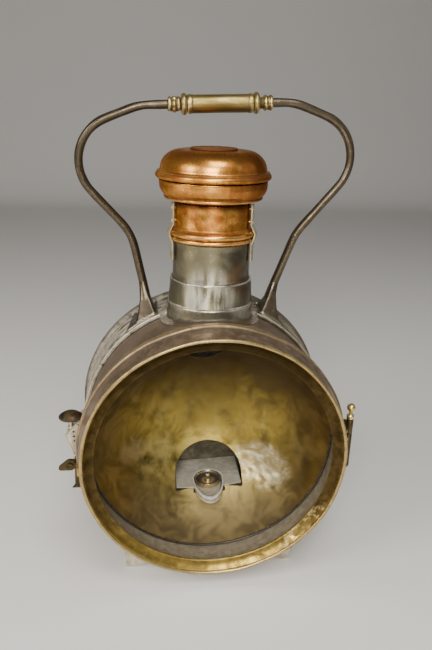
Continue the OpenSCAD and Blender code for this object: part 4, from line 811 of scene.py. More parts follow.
MAKERS = {
    "paint": make_paint,
    "reflector": make_reflector,
    "glass": make_glass,
    "floor": make_floor,
    "wick": make_wick,
    "tin": lambda: old_metal("tinned_sheet", colour("tin"), (0.14, 0.12, 0.08), (0.44, 0.41, 0.32),
        (0.66, 0.62, 0.50), metallic=0.75, rough=(0.36, 0.58), dusty=0.3, seed=21),
    "band": lambda: old_metal("banded_sheet", (0.13, 0.11, 0.075), (0.07, 0.055, 0.035), (0.25, 0.215, 0.155),
        (0.50, 0.45, 0.34), metallic=0.5, rough=(0.46, 0.66), dusty=0.08, seed=24, extra=band_extra),
    "chimney": lambda: old_metal("chimney_tin", (0.20, 0.187, 0.125), (0.15, 0.135, 0.085),
        (0.31, 0.295, 0.215), (0.70, 0.67, 0.57), metallic=0.9, rough=(0.24, 0.34), mid=20, blotch=48,
        dusty=0.1, seed=27, light_amount=0.3, specks=0.2, extra=tube_extra),
    "saddle": lambda: old_metal("soldered_tin", (0.23, 0.215, 0.16), (0.15, 0.13, 0.09), (0.36, 0.34, 0.27),
        (0.64, 0.60, 0.50), metallic=0.85, rough=(0.30, 0.48), mid=8, dusty=0.0, seed=29, extra=saddle_extra),
    "pale": lambda: old_metal("pale_sheet", (0.52, 0.48, 0.38), (0.30, 0.26, 0.18), (0.72, 0.68, 0.56),
        (0.82, 0.78, 0.66), metallic=0.35, rough=(0.5, 0.7), dusty=0.15, seed=31),
    "ash": lambda: old_metal("burner_sheet", (0.50, 0.455, 0.38), (0.36, 0.32, 0.26), (0.78, 0.73, 0.64),
        (0.88, 0.84, 0.76), metallic=0.15, rough=(0.5, 0.68), dusty=0.1, seed=33, mid=6, specks=0.2),
    "brass": lambda: old_metal("door_brass", colour("door"), (0.15, 0.105, 0.065), (0.40, 0.30, 0.18),
        (0.44, 0.32, 0.12), metallic=0.75, rough=(0.32, 0.5), dusty=0.12, seed=35, worn_rough=0.2,
        light_amount=0.4),
    "dark_brass": lambda: old_metal("dark_brass", (0.105, 0.078, 0.034), (0.045, 0.034, 0.016),
        (0.22, 0.165, 0.075), (0.62, 0.47, 0.21), rough=(0.3, 0.5), dusty=0.1, seed=37),
    "bright": lambda: old_metal("rubbed_brass", colour("bright"), (0.30, 0.20, 0.065), (0.86, 0.66, 0.26),
        (0.93, 0.74, 0.34), rough=(0.2, 0.4), dusty=0.05, seed=38, specks=0.25),
    "bevel": lambda: old_metal("bevel_brass", (0.35, 0.245, 0.055), (0.15, 0.10, 0.026), (0.48, 0.35, 0.11),
        (0.46, 0.33, 0.09), rough=(0.30, 0.46), dusty=0.0, seed=41, specks=0.35, light_amount=0.3,
        worn_rough=0.36, edge=(0.75, 0.55, 0.22), extra=bevel_extra),
    "copper": lambda: old_metal("warm_copper", colour("copper"), (0.34, 0.115, 0.024), (0.92, 0.55, 0.15),
        (0.90, 0.54, 0.18), (0.07, 0.026, 0.009), rough=(0.22, 0.34), dusty=0.0, seed=44, blotch=34, mid=13,
        light_amount=0.4, specks=0.3, bump=0.10, extra=copper_extra, edge=(0.90, 0.62, 0.42)),
    "brown": lambda: old_metal("brown_copper", (0.12, 0.075, 0.035), (0.05, 0.035, 0.018), (0.26, 0.17, 0.08),
        (0.78, 0.60, 0.34), rough=(0.32, 0.55), dusty=0.05, seed=47),
    "iron": lambda: old_metal("handle_iron", colour("iron"), (0.09, 0.07, 0.045), (0.26, 0.215, 0.145),
        (0.44, 0.38, 0.27), metallic=0.85, rough=(0.24, 0.38), mid=5, fine=1.0, blotch=26, bump=0.2,
        dusty=0.05, seed=50, light_amount=0.35, specks=0.25, extra=iron_extra),
    "grip": lambda: old_metal("grip_brass", colour("grip"), (0.16, 0.115, 0.035), (0.66, 0.53, 0.25),
        (0.60, 0.47, 0.21), rough=(0.34, 0.46), dusty=0.0, seed=53, stretch=(0.3, 1, 1), specks=0.2,
        bump=0.05, extra=grip_extra),
    "strap": lambda: old_metal("pale_strap", (0.55, 0.48, 0.30), (0.34, 0.28, 0.15), (0.74, 0.68, 0.48),
        (0.86, 0.80, 0.60), metallic=0.7, rough=(0.3, 0.5), dusty=0.0, seed=57, mid=5),
    # Painted shadow: the reflector's rim is near black where shadow falls at the bowl's edge.
    "rim": lambda: old_metal("dark_rim", (0.030, 0.020, 0.011), (0.016, 0.011, 0.007), (0.05, 0.035, 0.02),
        (0.05, 0.035, 0.02), metallic=0.2, rough=(0.6, 0.8), dusty=0.0, seed=59),
    "soot": lambda: old_metal("sooted_sheet", (0.09, 0.08, 0.07), (0.04, 0.035, 0.03), (0.16, 0.14, 0.12),
        (0.25, 0.22, 0.18), metallic=0.3, rough=(0.6, 0.8), dusty=0.1, seed=56),
}


# ---------------------------------------------------------------- settings


def length(name, text, default):
    """A length of the panel, its default in millimetres."""
    return FloatProperty(name=name, description=text, default=default * MM, min=0, unit="LENGTH", precision=4)


def tint(name, text, default):
    """A colour of the panel."""
    return FloatVectorProperty(name=name, description=text, default=default, subtype="COLOR", min=0, max=1)


class LanternSizes(PropertyGroup):
    """Sizes of the finish of the shapes."""

    door_dent: length("Door dents", "Height of the hammer marks in the door's bevel", 0.45)
    wall_wave: length("Sheet waviness", "How uneven the drum's and door's sheet is", 0.35)
    copper_wave: length("Copper waviness", "How uneven the copper top is", 0.4)
    chimney_wave: length("Chimney dents", "How uneven the chimney tube is", 0.7)
    bowl_wave: length("Reflector dents", "How uneven the reflector is", 0.5)
    rod_wave: length("Rod unevenness", "How uneven the forged rod is", 0.18)


class LanternColours(PropertyGroup):
    """Main colours of the finishes."""

    paint: tint("Drum paint", "Old purple-brown paint of the drum", (0.093, 0.062, 0.037))
    tin: tint("Tinned sheet", "Dull tinned iron", (0.28, 0.25, 0.18))
    door: tint("Door brass", "Tarnished brass of the door", (0.27, 0.19, 0.12))
    bright: tint("Bright brass", "Rubbed brass", (0.70, 0.50, 0.16))
    reflector: tint("Reflector brass", "Brass of the reflector", (0.43, 0.305, 0.062))
    copper: tint("Copper", "Warm copper of the chimney top", (0.80, 0.385, 0.075))
    iron: tint("Handle iron", "Brown iron of the handle", (0.125, 0.102, 0.068))
    grip: tint("Grip brass", "Polished brass of the grip", (0.35, 0.265, 0.09))
    floor: tint("Floor", "Pale studio floor", (0.72, 0.71, 0.69))


# ---------------------------------------------------------------- pieces


def door_r(y):
    """Outer radius of the door's wall at a depth: a straight line from its front roll to its hem."""
    return DOOR_FRONT_R + (DOOR_REAR_R - DOOR_FRONT_R) * (y - DOOR_ROLL) / (DOOR_HEM[0] - DOOR_ROLL)


class LANTERN_OT_door(Operator):
    """Builds the door's ring, bevel, glass, its wire and the lug"""

    bl_idname = "lantern.door"
    bl_label = "Door"

    def execute(self, context):
        bead = (door_r(DOOR_BEAD[0]) - DOOR_WALL / 2, DOOR_BEAD[0])
        hem = (DOOR_REAR_R - DOOR_WALL / 2, DOOR_HEM[0])
        roll = (DOOR_FRONT_R - DOOR_ROLL, DOOR_ROLL)
        ys = np.linspace(DOOR_ROLL + 1.5, DOOR_BEAD[0] - 3.2, 10)
        outer = np.stack([door_r(ys), ys], 1)
        inner_ys = np.linspace(DOOR_HEM[0], DOOR_ROLL + 2.2, 12)
        inner = np.stack([door_r(inner_ys) - DOOR_WALL, inner_ys], 1)
        profile = np.vstack([arc(roll, DOOR_ROLL, 180, 360, 13), outer, arc(bead, DOOR_BEAD[1], -72, 70, 13),
            arc(hem, DOOR_HEM[1], -50, 110, 9), inner, arc(roll, DOOR_ROLL, 80, 165, 5)])
        wave = size("wall_wave")
        warp = dented(DRUM_AXIS, [(70, wave, 3), (18, wave * 0.25, 4)])
        cover("door_ring", [lathe(profile, around=256, warp=warp)], "brass", "door")

        t = np.linspace(0, 1, 15)
        sag = BEVEL_SAG * 4 * t * (1 - t)
        front = np.stack([BEVEL_OUT_R + (SIGHT_R - BEVEL_OUT_R) * t,
            DOOR_ROLL + (SIGHT_Y - DOOR_ROLL) * t + sag], 1)
        seat_r = GLASS_R + 0.3
        seat_end = SIGHT_Y + DOOR_WALL + GLASS_T + 2 * GLASS_WIRE + 1
        back = fillet([[SIGHT_R, SIGHT_Y + DOOR_WALL], [seat_r, SIGHT_Y + DOOR_WALL], [seat_r, seat_end],
            [seat_r + DOOR_WALL, seat_end], [seat_r + DOOR_WALL, front[6, 1] + DOOR_WALL]], 0.35, False)
        profile = np.vstack([front, back, front[5::-1] + [0, DOOR_WALL]])
        dent = size("door_dent")

        def hammered(points):
            angle = np.degrees(np.arctan2(points[..., 0], points[..., 2])) % 360
            spot = np.exp(-(((angle - HAMMERED_AT) / HAMMERED_SPREAD) ** 2)) + 0.18
            face = np.clip((SIGHT_Y + 1.0 - points[..., 1]) / 3, 0, 1)
            marks = np.clip(waves(points, 9, 8) - 0.15, 0, 2) * spot
            deep = waves(points, 55, 9) * 0.35
            return points + np.array([0, 1, 0]) * ((marks * dent * 2.4 + deep * dent) * face)[..., None]

        cover("door_bevel", [lathe(profile, around=420, warp=hammered)], "bevel", "door")

        y0, y1 = SIGHT_Y + DOOR_WALL, SIGHT_Y + DOOR_WALL + GLASS_T
        half = [[2, y0], [GLASS_R - 2, y0], [GLASS_R - 1, y0], [GLASS_R - 0.4, y0], [GLASS_R, y0 + 0.4]]
        profile = half + [[r, y0 + y1 - y] for r, y in half[::-1]]
        piece("front_glass_pane", [closed_lathe(profile, DRUM_AXIS, 192)], finish("glass"), "door",
            ("front_glass",))
        wire = arc((seat_r - GLASS_WIRE, y1 + GLASS_WIRE), GLASS_WIRE, 0, 324, 10)
        cover("glass_wire", [lathe(wire, around=192)], "brass", "door")
        dress("door_lug", "bright", 0.5)
        return {"FINISHED"}


class LANTERN_OT_hinge(Operator):
    """Builds the hinge's barrel, pin with its ball, leaves and rivets"""

    bl_idname = "lantern.hinge"
    bl_label = "Hinge"

    def execute(self, context):
        dress("door_hinge_leaves drum_hinge_leaf", "dark_brass", 0.2)
        axis = upright(*HINGE[:2])
        low, top = HINGE[2] - BARREL_LEN / 2, HINGE[2] + BARREL_LEN / 2
        profile = np.vstack([[[0.3, low - 2.3], [3.0, low - 2.3], [3.4, low - 1.9], [3.4, low - 0.5],
            [1.8, low - 0.3], [1.8, top + 0.3], [3.4, top + 0.3], [3.9, top + 0.8], [3.9, top + 4.2],
            [3.3, top + 4.9], [2.1, top + 5.6], [1.7, top + 7.6]],
            arc((0, top + PIN_BALL_UP), PIN_BALL_R, -62, 86, 14)])
        cover("hinge_pin", [closed_lathe(profile, axis, 32)], "bright", "drum")
        leaf_y0, leaf_y1 = HINGE[1] - 24, DOOR_BEAD[0] - 2.5 * DOOR_BEAD[1]
        slope = (door_r(DOOR_BEAD[0]) - door_r(leaf_y0)) / (leaf_y1 - leaf_y0)
        r = door_r(leaf_y0) + 1.6 + slope * 5
        z = np.array([HINGE[2] + s * (BARREL_LEN - 17) / 2 + k for s in (-1, 1) for k in (-4.5, 4.5)])
        x = np.sqrt(r**2 - z**2)
        places = np.stack([x, np.full(4, leaf_y0 + 5), z], 1)
        normals = np.stack([x / r, np.full(4, -slope), z / r], 1)
        piece("door_rivet_heads", rivet_heads(places, normals), finish("bright"), "door",
            ("door_hinge_rivets",))
        return {"FINISHED"}


def bowl_y(r):
    """Depth of the bowl's inner face at a radius: a sphere through its rim and its bottom."""
    ball = (BOWL_RIM_R**2 + BOWL_DEPTH**2) / (2 * BOWL_DEPTH)
    return BOWL_Y0 + BOWL_DEPTH - ball + np.sqrt(np.maximum(ball**2 - r**2, 0))


def box_distance(x, z, centre, half):
    """Signed distance to a rectangle: negative inside."""
    dx, dz = np.abs(x - centre[0]) - half[0], np.abs(z - centre[1]) - half[1]
    return np.hypot(np.maximum(dx, 0), np.maximum(dz, 0)) + np.minimum(np.maximum(dx, dz), 0)


def punched(verts, faces, distance, settle):
    """Cuts a hole where distance is negative: faces wholly inside go, and inside points of the others move to
    the outline along the distance's slope, then back onto the surface with settle."""
    d = distance(verts)
    faces = faces[(d[faces] >= 0).any(1)]
    used = np.zeros(len(verts), bool)
    used[faces.ravel()] = True
    move = used & (d < 0)
    for _ in range(4):
        here = verts[move]
        base, h = distance(here), 0.05
        slope = np.stack([(distance(here + np.eye(3)[i] * h) - base) / h for i in range(3)], 1)
        steep = np.maximum((slope**2).sum(1), 1e-6)
        verts[move] = settle(here - slope * (base / steep)[:, None])
    keep = np.cumsum(used) - 1
    return verts[used], keep[faces], used


class LANTERN_OT_reflector(Operator):
    """Builds the reflector bowl with its flue hole, arch and rim"""

    bl_idname = "lantern.reflector"
    bl_label = "Reflector"

    def execute(self, context):
        r = np.concatenate([np.linspace(1.2, 30, 22, endpoint=False), np.linspace(30, BOWL_RIM_R + 0.2, 84)])
        a = np.linspace(0, 2 * np.pi, 420, endpoint=False)
        points = np.stack([r[:, None] * np.sin(a), np.broadcast_to(bowl_y(r)[:, None], (len(r), len(a))),
            r[:, None] * np.cos(a)], -1)
        verts, quads, tris, _ = skin(points, (False, True), (True, False), flip=False)
        half = PLATE_HALF + ARCH_GAP
        spring = PLATE_Z + ARCH_SIDE_H
        crown_h = ARCH_H - ARCH_SIDE_H

        def arch(p):
            x, z = p[:, 0], p[:, 2]
            leg = box_distance(x, z, (0, (PLATE_Z - 1.8 + spring) / 2), (half, (spring - PLATE_Z + 1.8) / 2))
            crown = np.where(z > spring - 1, (np.hypot(x / half, (z - spring) / crown_h) - 1) * crown_h, 50)
            slot = box_distance(x, z, (0, PLATE_Z - 3.6), (NOSE_HALF + 0.2, 3.6))
            inside = np.minimum(np.minimum(leg, crown), slot)
            return np.where(p[:, 1] > BOWL_Y0 + 10, inside, 50)

        def flue(p):
            hole = np.hypot(p[:, 0], p[:, 1] - FLUE_HOLE_Y) - FLUE_HOLE_R
            return np.where(p[:, 2] > 0, hole, 50)

        def settle(p):
            rr = np.minimum(np.hypot(p[:, 0], p[:, 2]), BOWL_RIM_R + 1)
            return np.stack([p[:, 0], bowl_y(rr), p[:, 2]], 1)

        faces = np.vstack([quads, np.hstack([tris, tris[:, :1]])])
        is_tri = np.arange(len(faces)) >= len(quads)
        tags = np.zeros(len(verts))
        for hole in (arch, flue):
            d = hole(verts)
            is_tri = is_tri[(d[faces] >= 0).any(1)]
            edge = np.clip(1 - np.abs(d) / 2.2, 0, 1)
            tags = np.maximum(tags, edge)
            verts, faces, used = punched(verts, faces, hole, settle)
            tags = tags[used]
        push = size("bowl_wave") * (waves(verts, 85, 21) * 0.8 + waves(verts, 26, 22) * 0.3)
        # A crease in the sheet at the right of the arch
        crease = np.exp(-(((verts[:, 0] - 62) / 16) ** 2) - (((verts[:, 2] + 78) / 9) ** 2))
        push = push * np.clip((BOWL_RIM_R - np.hypot(verts[:, 0], verts[:, 2])) / 12, 0, 1)
        verts = verts + np.array([0, 1, 0]) * (push - crease * waves(verts, 12, 23) * 1.1)[:, None]
        verts = turned_inside(verts)
        bowl = (verts, faces[~is_tri], faces[is_tri][:, :3], np.stack([tags, 0 * tags], 1))
        piece("reflector_bowl", [bowl], finish("reflector"), "drum", ("reflector",), wall=(1.0, 1.0))
        # The rim is finished near black as painted shadow.
        rim = lathe(arc((BOWL_RIM_R - 0.15, BOWL_Y0), 1.4, 0, 330, 12), around=256)
        piece("reflector_rim", [rim], finish("rim"), "drum", slot="reflector_brass")
        return {"FINISHED"}


class LANTERN_OT_burner(Operator):
    """Builds the burner plate, its nose, the cup, the wick tube and the wick"""

    bl_idname = "lantern.burner"
    bl_label = "Burner"

    def execute(self, context):
        dress("burner_plate", "ash", 0.3)
        dress("oil_font", "soot", 0.3)
        low = PLATE_Z - NOSE_WALL_H
        a = np.linspace(0, 2 * np.pi, 96, endpoint=False)
        stretch = np.where(np.sin(a) < 0, BURNER_Y - NOSE_Y - NOSE_HALF, 0)
        line = fillet([[0.6, low + NOSE_WALL_T], [NOSE_HALF - NOSE_WALL_T, low + NOSE_WALL_T],
            [NOSE_HALF - NOSE_WALL_T, PLATE_Z + 0.6], [NOSE_HALF, PLATE_Z + 0.6], [NOSE_HALF, low],
            [0.6, low]], 0.45, False)
        line = resample(line, 2.5, False)
        x = line[:, 0, None] * np.cos(a)
        y = BURNER_Y + (line[:, 0, None] + stretch * line[:, 0, None] / NOSE_HALF) * np.sin(a)
        points = np.stack([x, y, np.broadcast_to(line[:, 1, None], x.shape)], -1)
        points[..., 2] += 0.25 * waves(points, 20, 31) * (points[..., 2] > PLATE_Z - 3)
        wear, dirt = edge_marks(line, False)
        nose = skin(turned_inside(points), (False, True), (True, True), dirt[:, None], wear[:, None])
        cover("burner_nose", [nose], "ash", "drum")

        t = np.radians(INNER_TURN)
        axis = (tuple(turned_inside(np.array([0, BURNER_Y, 0.0]))), (np.sin(t), 0, np.cos(t)),
            (np.cos(t), 0, -np.sin(t)))
        base, rim = low + NOSE_WALL_T, PLATE_Z + CUP_UP
        cup = fillet([[3.2, base], [CUP_R - 1.5, base], [CUP_R - 0.1, rim - 0.6], [CUP_R, rim],
            [CUP_R - 1.2, rim], [CUP_R - 2.7, base + 2.0], [3.2, base + 2.2]], 0.4)
        cover("burner_cup", [lathe(cup, axis, 96)], "brown", "burner")
        top = PLATE_Z + CUP_UP + WICK_TUBE_UP
        tube = fillet([[WICK_TUBE_R, low], [WICK_TUBE_R, top], [WICK_R + 0.25, top], [WICK_R + 0.25, low]],
            0.25)
        cover("wick_tube", [lathe(tube, axis, 48)], "bright", "burner")
        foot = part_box("wick")[0].z / MM - ORIGIN[2] / MM
        wick = [[0.3, foot], [WICK_R, foot], [WICK_R, top + WICK_UP - 0.5], [WICK_R - 0.5, top + WICK_UP],
            [0.3, top + WICK_UP]]
        cover("wick", [closed_lathe(wick, axis, 24)], "wick", "burner")
        return {"FINISHED"}


def sheet_with_flue(profile, around, warp):
    """A turned sheet with the chimney's round hole cut in its top."""
    verts, quads, tris, marks = lathe(profile, around=around, closed=False, warp=warp, flip=True)
    lines = np.asarray(profile)

    def hole(p):
        return np.where(p[:, 2] > 0, np.hypot(p[:, 0], p[:, 1] - FLUE_Y) - FLUE_R, 50)

    def settle(p):
        r = np.interp(p[:, 1], lines[:, 1], lines[:, 0])
        k = r / np.maximum(np.hypot(p[:, 0], p[:, 2]), 1e-6)
        return np.stack([p[:, 0] * k, p[:, 1], p[:, 2] * k], 1)

    verts, quads, used = punched(verts, quads, hole, settle)
    return verts, quads, tris, marks[used]


class LANTERN_OT_drum(Operator):
    """Builds the drum's front section, its rolled edge, the beaded rear section and the back cover"""

    bl_idname = "lantern.drum"
    bl_label = "Drum"

    def execute(self, context):
        wave = size("wall_wave")
        warp = dented(DRUM_AXIS, [(80, wave * 0.5, 12), (24, wave * 0.2, 13)])
        ys = np.linspace(DRUM_FRONT + 1.4, BAND_Y - 1, 60)
        line = np.stack([np.full(len(ys), DRUM_R), ys], 1)
        piece("drum_front_sheet", [sheet_with_flue(line, 320, warp)], finish("paint"), "drum",
            ("drum_shell",), wall=(SHEET, -1.0))
        wire = arc((DRUM_R - SHEET + 1.4, DRUM_FRONT + 1.4), 1.4, 0, 330, 12)
        piece("drum_front_roll", [lathe(wire, around=256)], finish("band"), "drum", slot="drum_paint")

        parts = [[[DRUM_R + 0.08, BAND_Y], [BAND_R - 0.6, BAND_Y], [BAND_R, BAND_Y + 0.6]]]
        for y in BEAD_Y:
            parts.append(arc((BAND_R - SHEET / 2 + 0.3, y), BEAD_R, -60, 60, 9))
        parts.append([[BAND_R, COVER_Y]])
        line = resample(np.vstack(parts), 1.6, False)
        piece("drum_rear_sheet", [sheet_with_flue(line, 320, warp)], finish("band"), "drum",
            ("rear_section",), wall=(SHEET, -1.0))

        rim = (BAND_R + 2.5, COVER_Y + 2.3)
        face = COVER_Y + SHEET
        profile = np.vstack([[[1.5, face + 1.8], [41, face + 1.8], [43, face + 1.5], [46, face + 0.1],
            [48, face]], [[92.5, face], [93.4, face + 0.3]], arc((96, face), 2.4, 160, 20, 9),
            [[98.6, face + 0.3], [99.5, face]], [[BAND_R - 0.3, face], [BAND_R + 0.3, face + 0.4]],
            arc(rim, 2.3, 190, -95, 22), [[BAND_R + 0.5, COVER_Y], [BAND_R - 1.2, COVER_Y], [1.5, COVER_Y]]])
        profile = resample(profile, 6, False)

        def pressed(points):
            r = np.hypot(points[..., 0], points[..., 2])
            push = waves(points, 90, 15) * 0.5 * np.clip((BAND_R - 6 - r) / 20, 0, 1)
            return points + np.array([0, 1, 0]) * push[..., None]

        cover("back_cover", [closed_lathe(profile, DRUM_AXIS, 320, pressed)], "band", "drum")
        return {"FINISHED"}


def drum_top(x, y):
    """Height of the drum's outside above its axis: the root of the squared radius less x squared, where the
    radius rises smoothly over BAND_BLEND by the step at the rear section."""
    s = np.clip((y - (BAND_Y - BAND_BLEND)) / BAND_BLEND, 0, 1)
    r = DRUM_R + (BAND_R - DRUM_R) * s * s * (3 - 2 * s)
    return np.sqrt(r**2 - x**2)


class LANTERN_OT_chimney(Operator):
    """Builds the chimney's saddle, collar and tube"""

    bl_idname = "lantern.chimney"
    bl_label = "Chimney"

    def execute(self, context):
        a = np.linspace(0, 2 * np.pi, 200, endpoint=False)
        wall_in = TUBE_R + SKIRT_GAP
        # Flange on the drum, a soft solder fillet, and the upright wall
        rho = np.concatenate([[wall_in, SADDLE_R - 0.6, SADDLE_R, SADDLE_R - 0.3],
            np.linspace(SADDLE_R - 1.5, SOCKET_R + 2.6, 5),
            SOCKET_R + 2.6 * (1 - np.sin(np.linspace(0.25, np.pi / 2, 6)))])
        lift = np.concatenate([[0.12, 0.12, 0.5, 1.3], np.full(5, 1.5),
            1.5 + 2.6 * (1 - np.cos(np.linspace(0.25, np.pi / 2, 6)))])
        x = rho[:, None] * np.cos(a)
        y = FLUE_Y + rho[:, None] * np.sin(a)
        lump = 1 + 0.25 * waves(np.stack([x, y, 0 * x], -1), 14, 18)
        z = drum_top(x, y) + lift[:, None] * np.where(lift[:, None] > 1.0, lump, 1)
        base = np.stack([x, y, z], -1)
        top = [(SOCKET_R, s) for s in (0.3, 0.6, 0.85, 0.97)] + [(SOCKET_R - 0.5, 1.0), (wall_in + 0.4, 1.0),
            (wall_in, 0.97), (wall_in, 0.5)]
        rows = []
        for r, s in top:
            zz = base[-1, :, 2] * (1 - s) + SOCKET_Z * s
            rows.append(np.stack([r * np.cos(a), FLUE_Y + r * np.sin(a), zz], -1))
        points = np.concatenate([base, np.array(rows)], 0)
        wear = np.concatenate([[0, 0.3, 0.9, 0.5], np.zeros(11), [0, 0, 0.3, 0.8, 0.6, 0.2, 0, 0]])
        dirt = np.concatenate([np.zeros(8), [0.1, 0.3, 0.5, 0.6, 0.5, 0.3, 0.1], np.zeros(8)])
        cover("chimney_saddle", [skin(points, (True, True), wear=wear[:, None], dirt=dirt[:, None])],
            "saddle", "drum")

        wave = size("chimney_wave")
        line = fillet([[SOCKET_R, SOCKET_Z + 0.1], [COLLAR_TOP_R, SOCKET_Z + COLLAR_H],
            [wall_in, SOCKET_Z + COLLAR_H], [wall_in, SOCKET_Z + 0.1]], 0.5)

        def seamed(points):
            angle = np.degrees(np.arctan2(points[..., 1] - FLUE_Y, points[..., 0])) % 360
            out = np.hypot(points[..., 0], points[..., 1] - FLUE_Y) > wall_in + 0.6
            step = (angle > SEAM_AT) & (angle < SEAM_END)
            lap = np.clip(1 - np.abs(angle - SEAM_AT) / 1.2, 0, 1) * 0.5 + step * 0.35
            push = wave * (0.7 * waves(points, 34, 41) + 0.4 * waves(points, 19, 42)) + lap
            return off_axis(points, CHIMNEY_AXIS, push * out)

        cover("chimney_collar", [lathe(resample(line, 1.5), CHIMNEY_AXIS, 260, warp=seamed)],
            "chimney", "drum")
        inner = TUBE_R - SHEET
        line = fillet([[TUBE_R, TUBE_LOW], [TUBE_R, TUBE_TOP], [inner, TUBE_TOP], [inner, TUBE_LOW]], 0.4)

        def dents(points):
            above = np.clip((points[..., 2] - SOCKET_Z - COLLAR_H - 1) / 4, 0, 1)
            high = above * np.clip((SKIRT_Z - 1 - points[..., 2]) / 4, 0, 1)
            push = wave * (0.65 * waves(points, 38, 44) + 0.1 * waves(points, 12, 45)) - 0.4
            return off_axis(points, CHIMNEY_AXIS, push * high)

        cover("chimney_tube", [lathe(resample(line, 1.6), CHIMNEY_AXIS, 240, warp=dents)], "chimney", "drum")
        return {"FINISHED"}


class LANTERN_OT_copper_top(Operator):
    """Builds the copper neck with its double bead, the cup, the dome, the disc, the stays and the straps"""

    bl_idname = "lantern.copper_top"
    bl_label = "Copper top"

    def execute(self, context):
        wave = size("copper_wave")
        skirt_in = TUBE_R + SKIRT_GAP
        skirt = skirt_in + COPPER_T
        line = np.vstack([[[skirt_in, SKIRT_Z], [skirt - 0.4, SKIRT_Z]],
            *(arc(bead[:2], bead[2], *ends, 12) for bead, ends in zip(SKIRT_BEADS, ((-72, 80), (-80, 88)))),
            [[NECK_R + 1.3, TUBE_TOP + 0.2], [NECK_R + 0.4, TUBE_TOP + 0.7], [NECK_R, TUBE_TOP + 1.9],
            [NECK_R, CUP_Z + 0.2], [NECK_R - COPPER_T, CUP_Z + 0.2], [NECK_R - COPPER_T, TUBE_TOP + 0.9],
            [skirt_in - 0.6, TUBE_TOP + 0.3], [skirt_in, TUBE_TOP - 0.4]]])

        def hammered(points):
            calm = np.clip((points[..., 2] - TUBE_TOP - 3) / 5, 0, 1)
            push = wave * (waves(points, 36, 51) * 0.7 + waves(points, 13, 52) * 0.35) * (0.12 + 0.88 * calm)
            return off_axis(points, CHIMNEY_AXIS, push)

        cover("copper_neck", [lathe(resample(line, 1.5), CHIMNEY_AXIS, 240, warp=hammered)],
            "copper", "copper_top")

        outer = np.vstack([[[NECK_R + 0.05, CUP_Z], [NECK_R + 3, CUP_Z + 0.9],
            [CUP_BEAD[0] - 2.0, CUP_BEAD[1] - 2.0]], arc((CUP_BEAD[0] + 0.3, CUP_BEAD[1]), 1.8, -110, 50, 9),
            [[CUP_BEAD[0] + 2.6, CUP_BEAD[1] + 2.6], [CUP_RIM[0] - 2.6, CUP_BEAD[1] + 4.4],
            [CUP_RIM[0] - 1.0, CUP_BEAD[1] + 7.6], [CUP_RIM[0] - 0.3, CUP_BEAD[1] + 10.5], list(CUP_RIM)]])
        inner = outer[::-1] + [-COPPER_T, 0.0]
        inner[:, 1] += np.linspace(0, COPPER_T, len(inner))
        line = fillet(np.vstack([outer, inner]), 0.5)
        bend = dented(CHIMNEY_AXIS, [(40, wave * 0.6, 54), (14, wave * 0.2, 55)])
        cover("cap_cup", [lathe(resample(line, 1.5), CHIMNEY_AXIS, 240, warp=bend)], "copper", "copper_top")

        top = DOME_TOP - DOME_ROUND
        line = np.vstack([[[2, DOME_TOP + 0.2], [DISC_R + 2, DOME_TOP]],
            arc((DOME_SHOULDER, top), DOME_ROUND, 88, 4, 22), [[DOME_BEAD[0] - 0.4, DOME_BEAD[1] + 3.8]],
            arc((DOME_BEAD[0] + 0.7, DOME_BEAD[1] + 3.4), 0.75, 120, -60, 8),
            arc(DOME_BEAD, DOME_BEAD_R, 68, -190, 22), arc((DOME_SHOULDER, top), DOME_ROUND - COPPER_T, 3, 88,
            16), [[2, DOME_TOP - COPPER_T]]])

        def crowned(points):
            r = np.hypot(points[..., 0], points[..., 1] - FLUE_Y)
            crown = np.clip((DOME_SHOULDER - r) / 10, 0, 1) * np.clip((r - DISC_R - 2) / 6, 0, 1)
            lift = waves(points, 30, 59) * wave * 0.5 * crown
            push = wave * (waves(points, 34, 57) * 0.5 + waves(points, 12, 58) * 0.22)
            beyond = np.clip((r - DISC_R) / 12, 0, 1)
            over = np.clip((points[..., 2] - DOME_BEAD[1] - 2) / 6 + 0.25, 0.25, 1)
            moved = off_axis(points, CHIMNEY_AXIS, push * beyond * over)
            return moved + np.array([0, 0, 1]) * lift[..., None]

        dome = closed_lathe(resample(line, 2, False), CHIMNEY_AXIS, 240, crowned)
        dome[3][:, 1] *= 0.4
        cover("cap_dome", [dome], "copper", "copper_top")
        line = np.vstack([[[1, DOME_TOP + 1.5], [DISC_R - 4.6, DOME_TOP + 1.5],
            [DISC_R - 3.4, DOME_TOP + 2.0]], arc((DISC_R - 1.3, DOME_TOP + 0.9), 1.2, 110, -60, 10),
            [[DISC_R - 1.3, DOME_TOP], [1, DOME_TOP]]])
        cover("cap_disc", [closed_lathe(line, CHIMNEY_AXIS, 128)], "copper", "copper_top")
        dress("cap_stays", "brown", 0.2)
        dress("strap_left strap_right", "strap", 0.2)
        dress("strap_rivets", "strap", 0.0)
        return {"FINISHED"}


def lean(side, x, z):
    """A corner of the handle as it leans: moved right, with its right side higher."""
    return [side * x + HANDLE_SHIFT, z + side * HANDLE_RISE * min(1, x / LEAN_REACH)]


FOOT_Z = np.sqrt(BRACKET_R**2 - FOOT_X**2) - 4
WAIST_LEAN = HANDLE_RISE * (WAIST_X / LEAN_REACH - 0.7)
HANDLE_LINE = [[-FOOT_X, FOOT_Z], [-WAIST_X + HANDLE_SHIFT, WAIST_Z - WAIST_LEAN],
    lean(-1, BOW_X, HANDLE_Z - BOW_DROP), lean(-1, TOP_HALF, HANDLE_Z), lean(1, TOP_HALF, HANDLE_Z),
    lean(1, BOW_X, HANDLE_Z - BOW_DROP), [WAIST_X + HANDLE_SHIFT, WAIST_Z + WAIST_LEAN], [FOOT_X, FOOT_Z]]
HANDLE_BENDS = [0, WAIST_BEND, BOW_BEND, TOP_BEND, TOP_BEND, BOW_BEND, WAIST_BEND, 0]


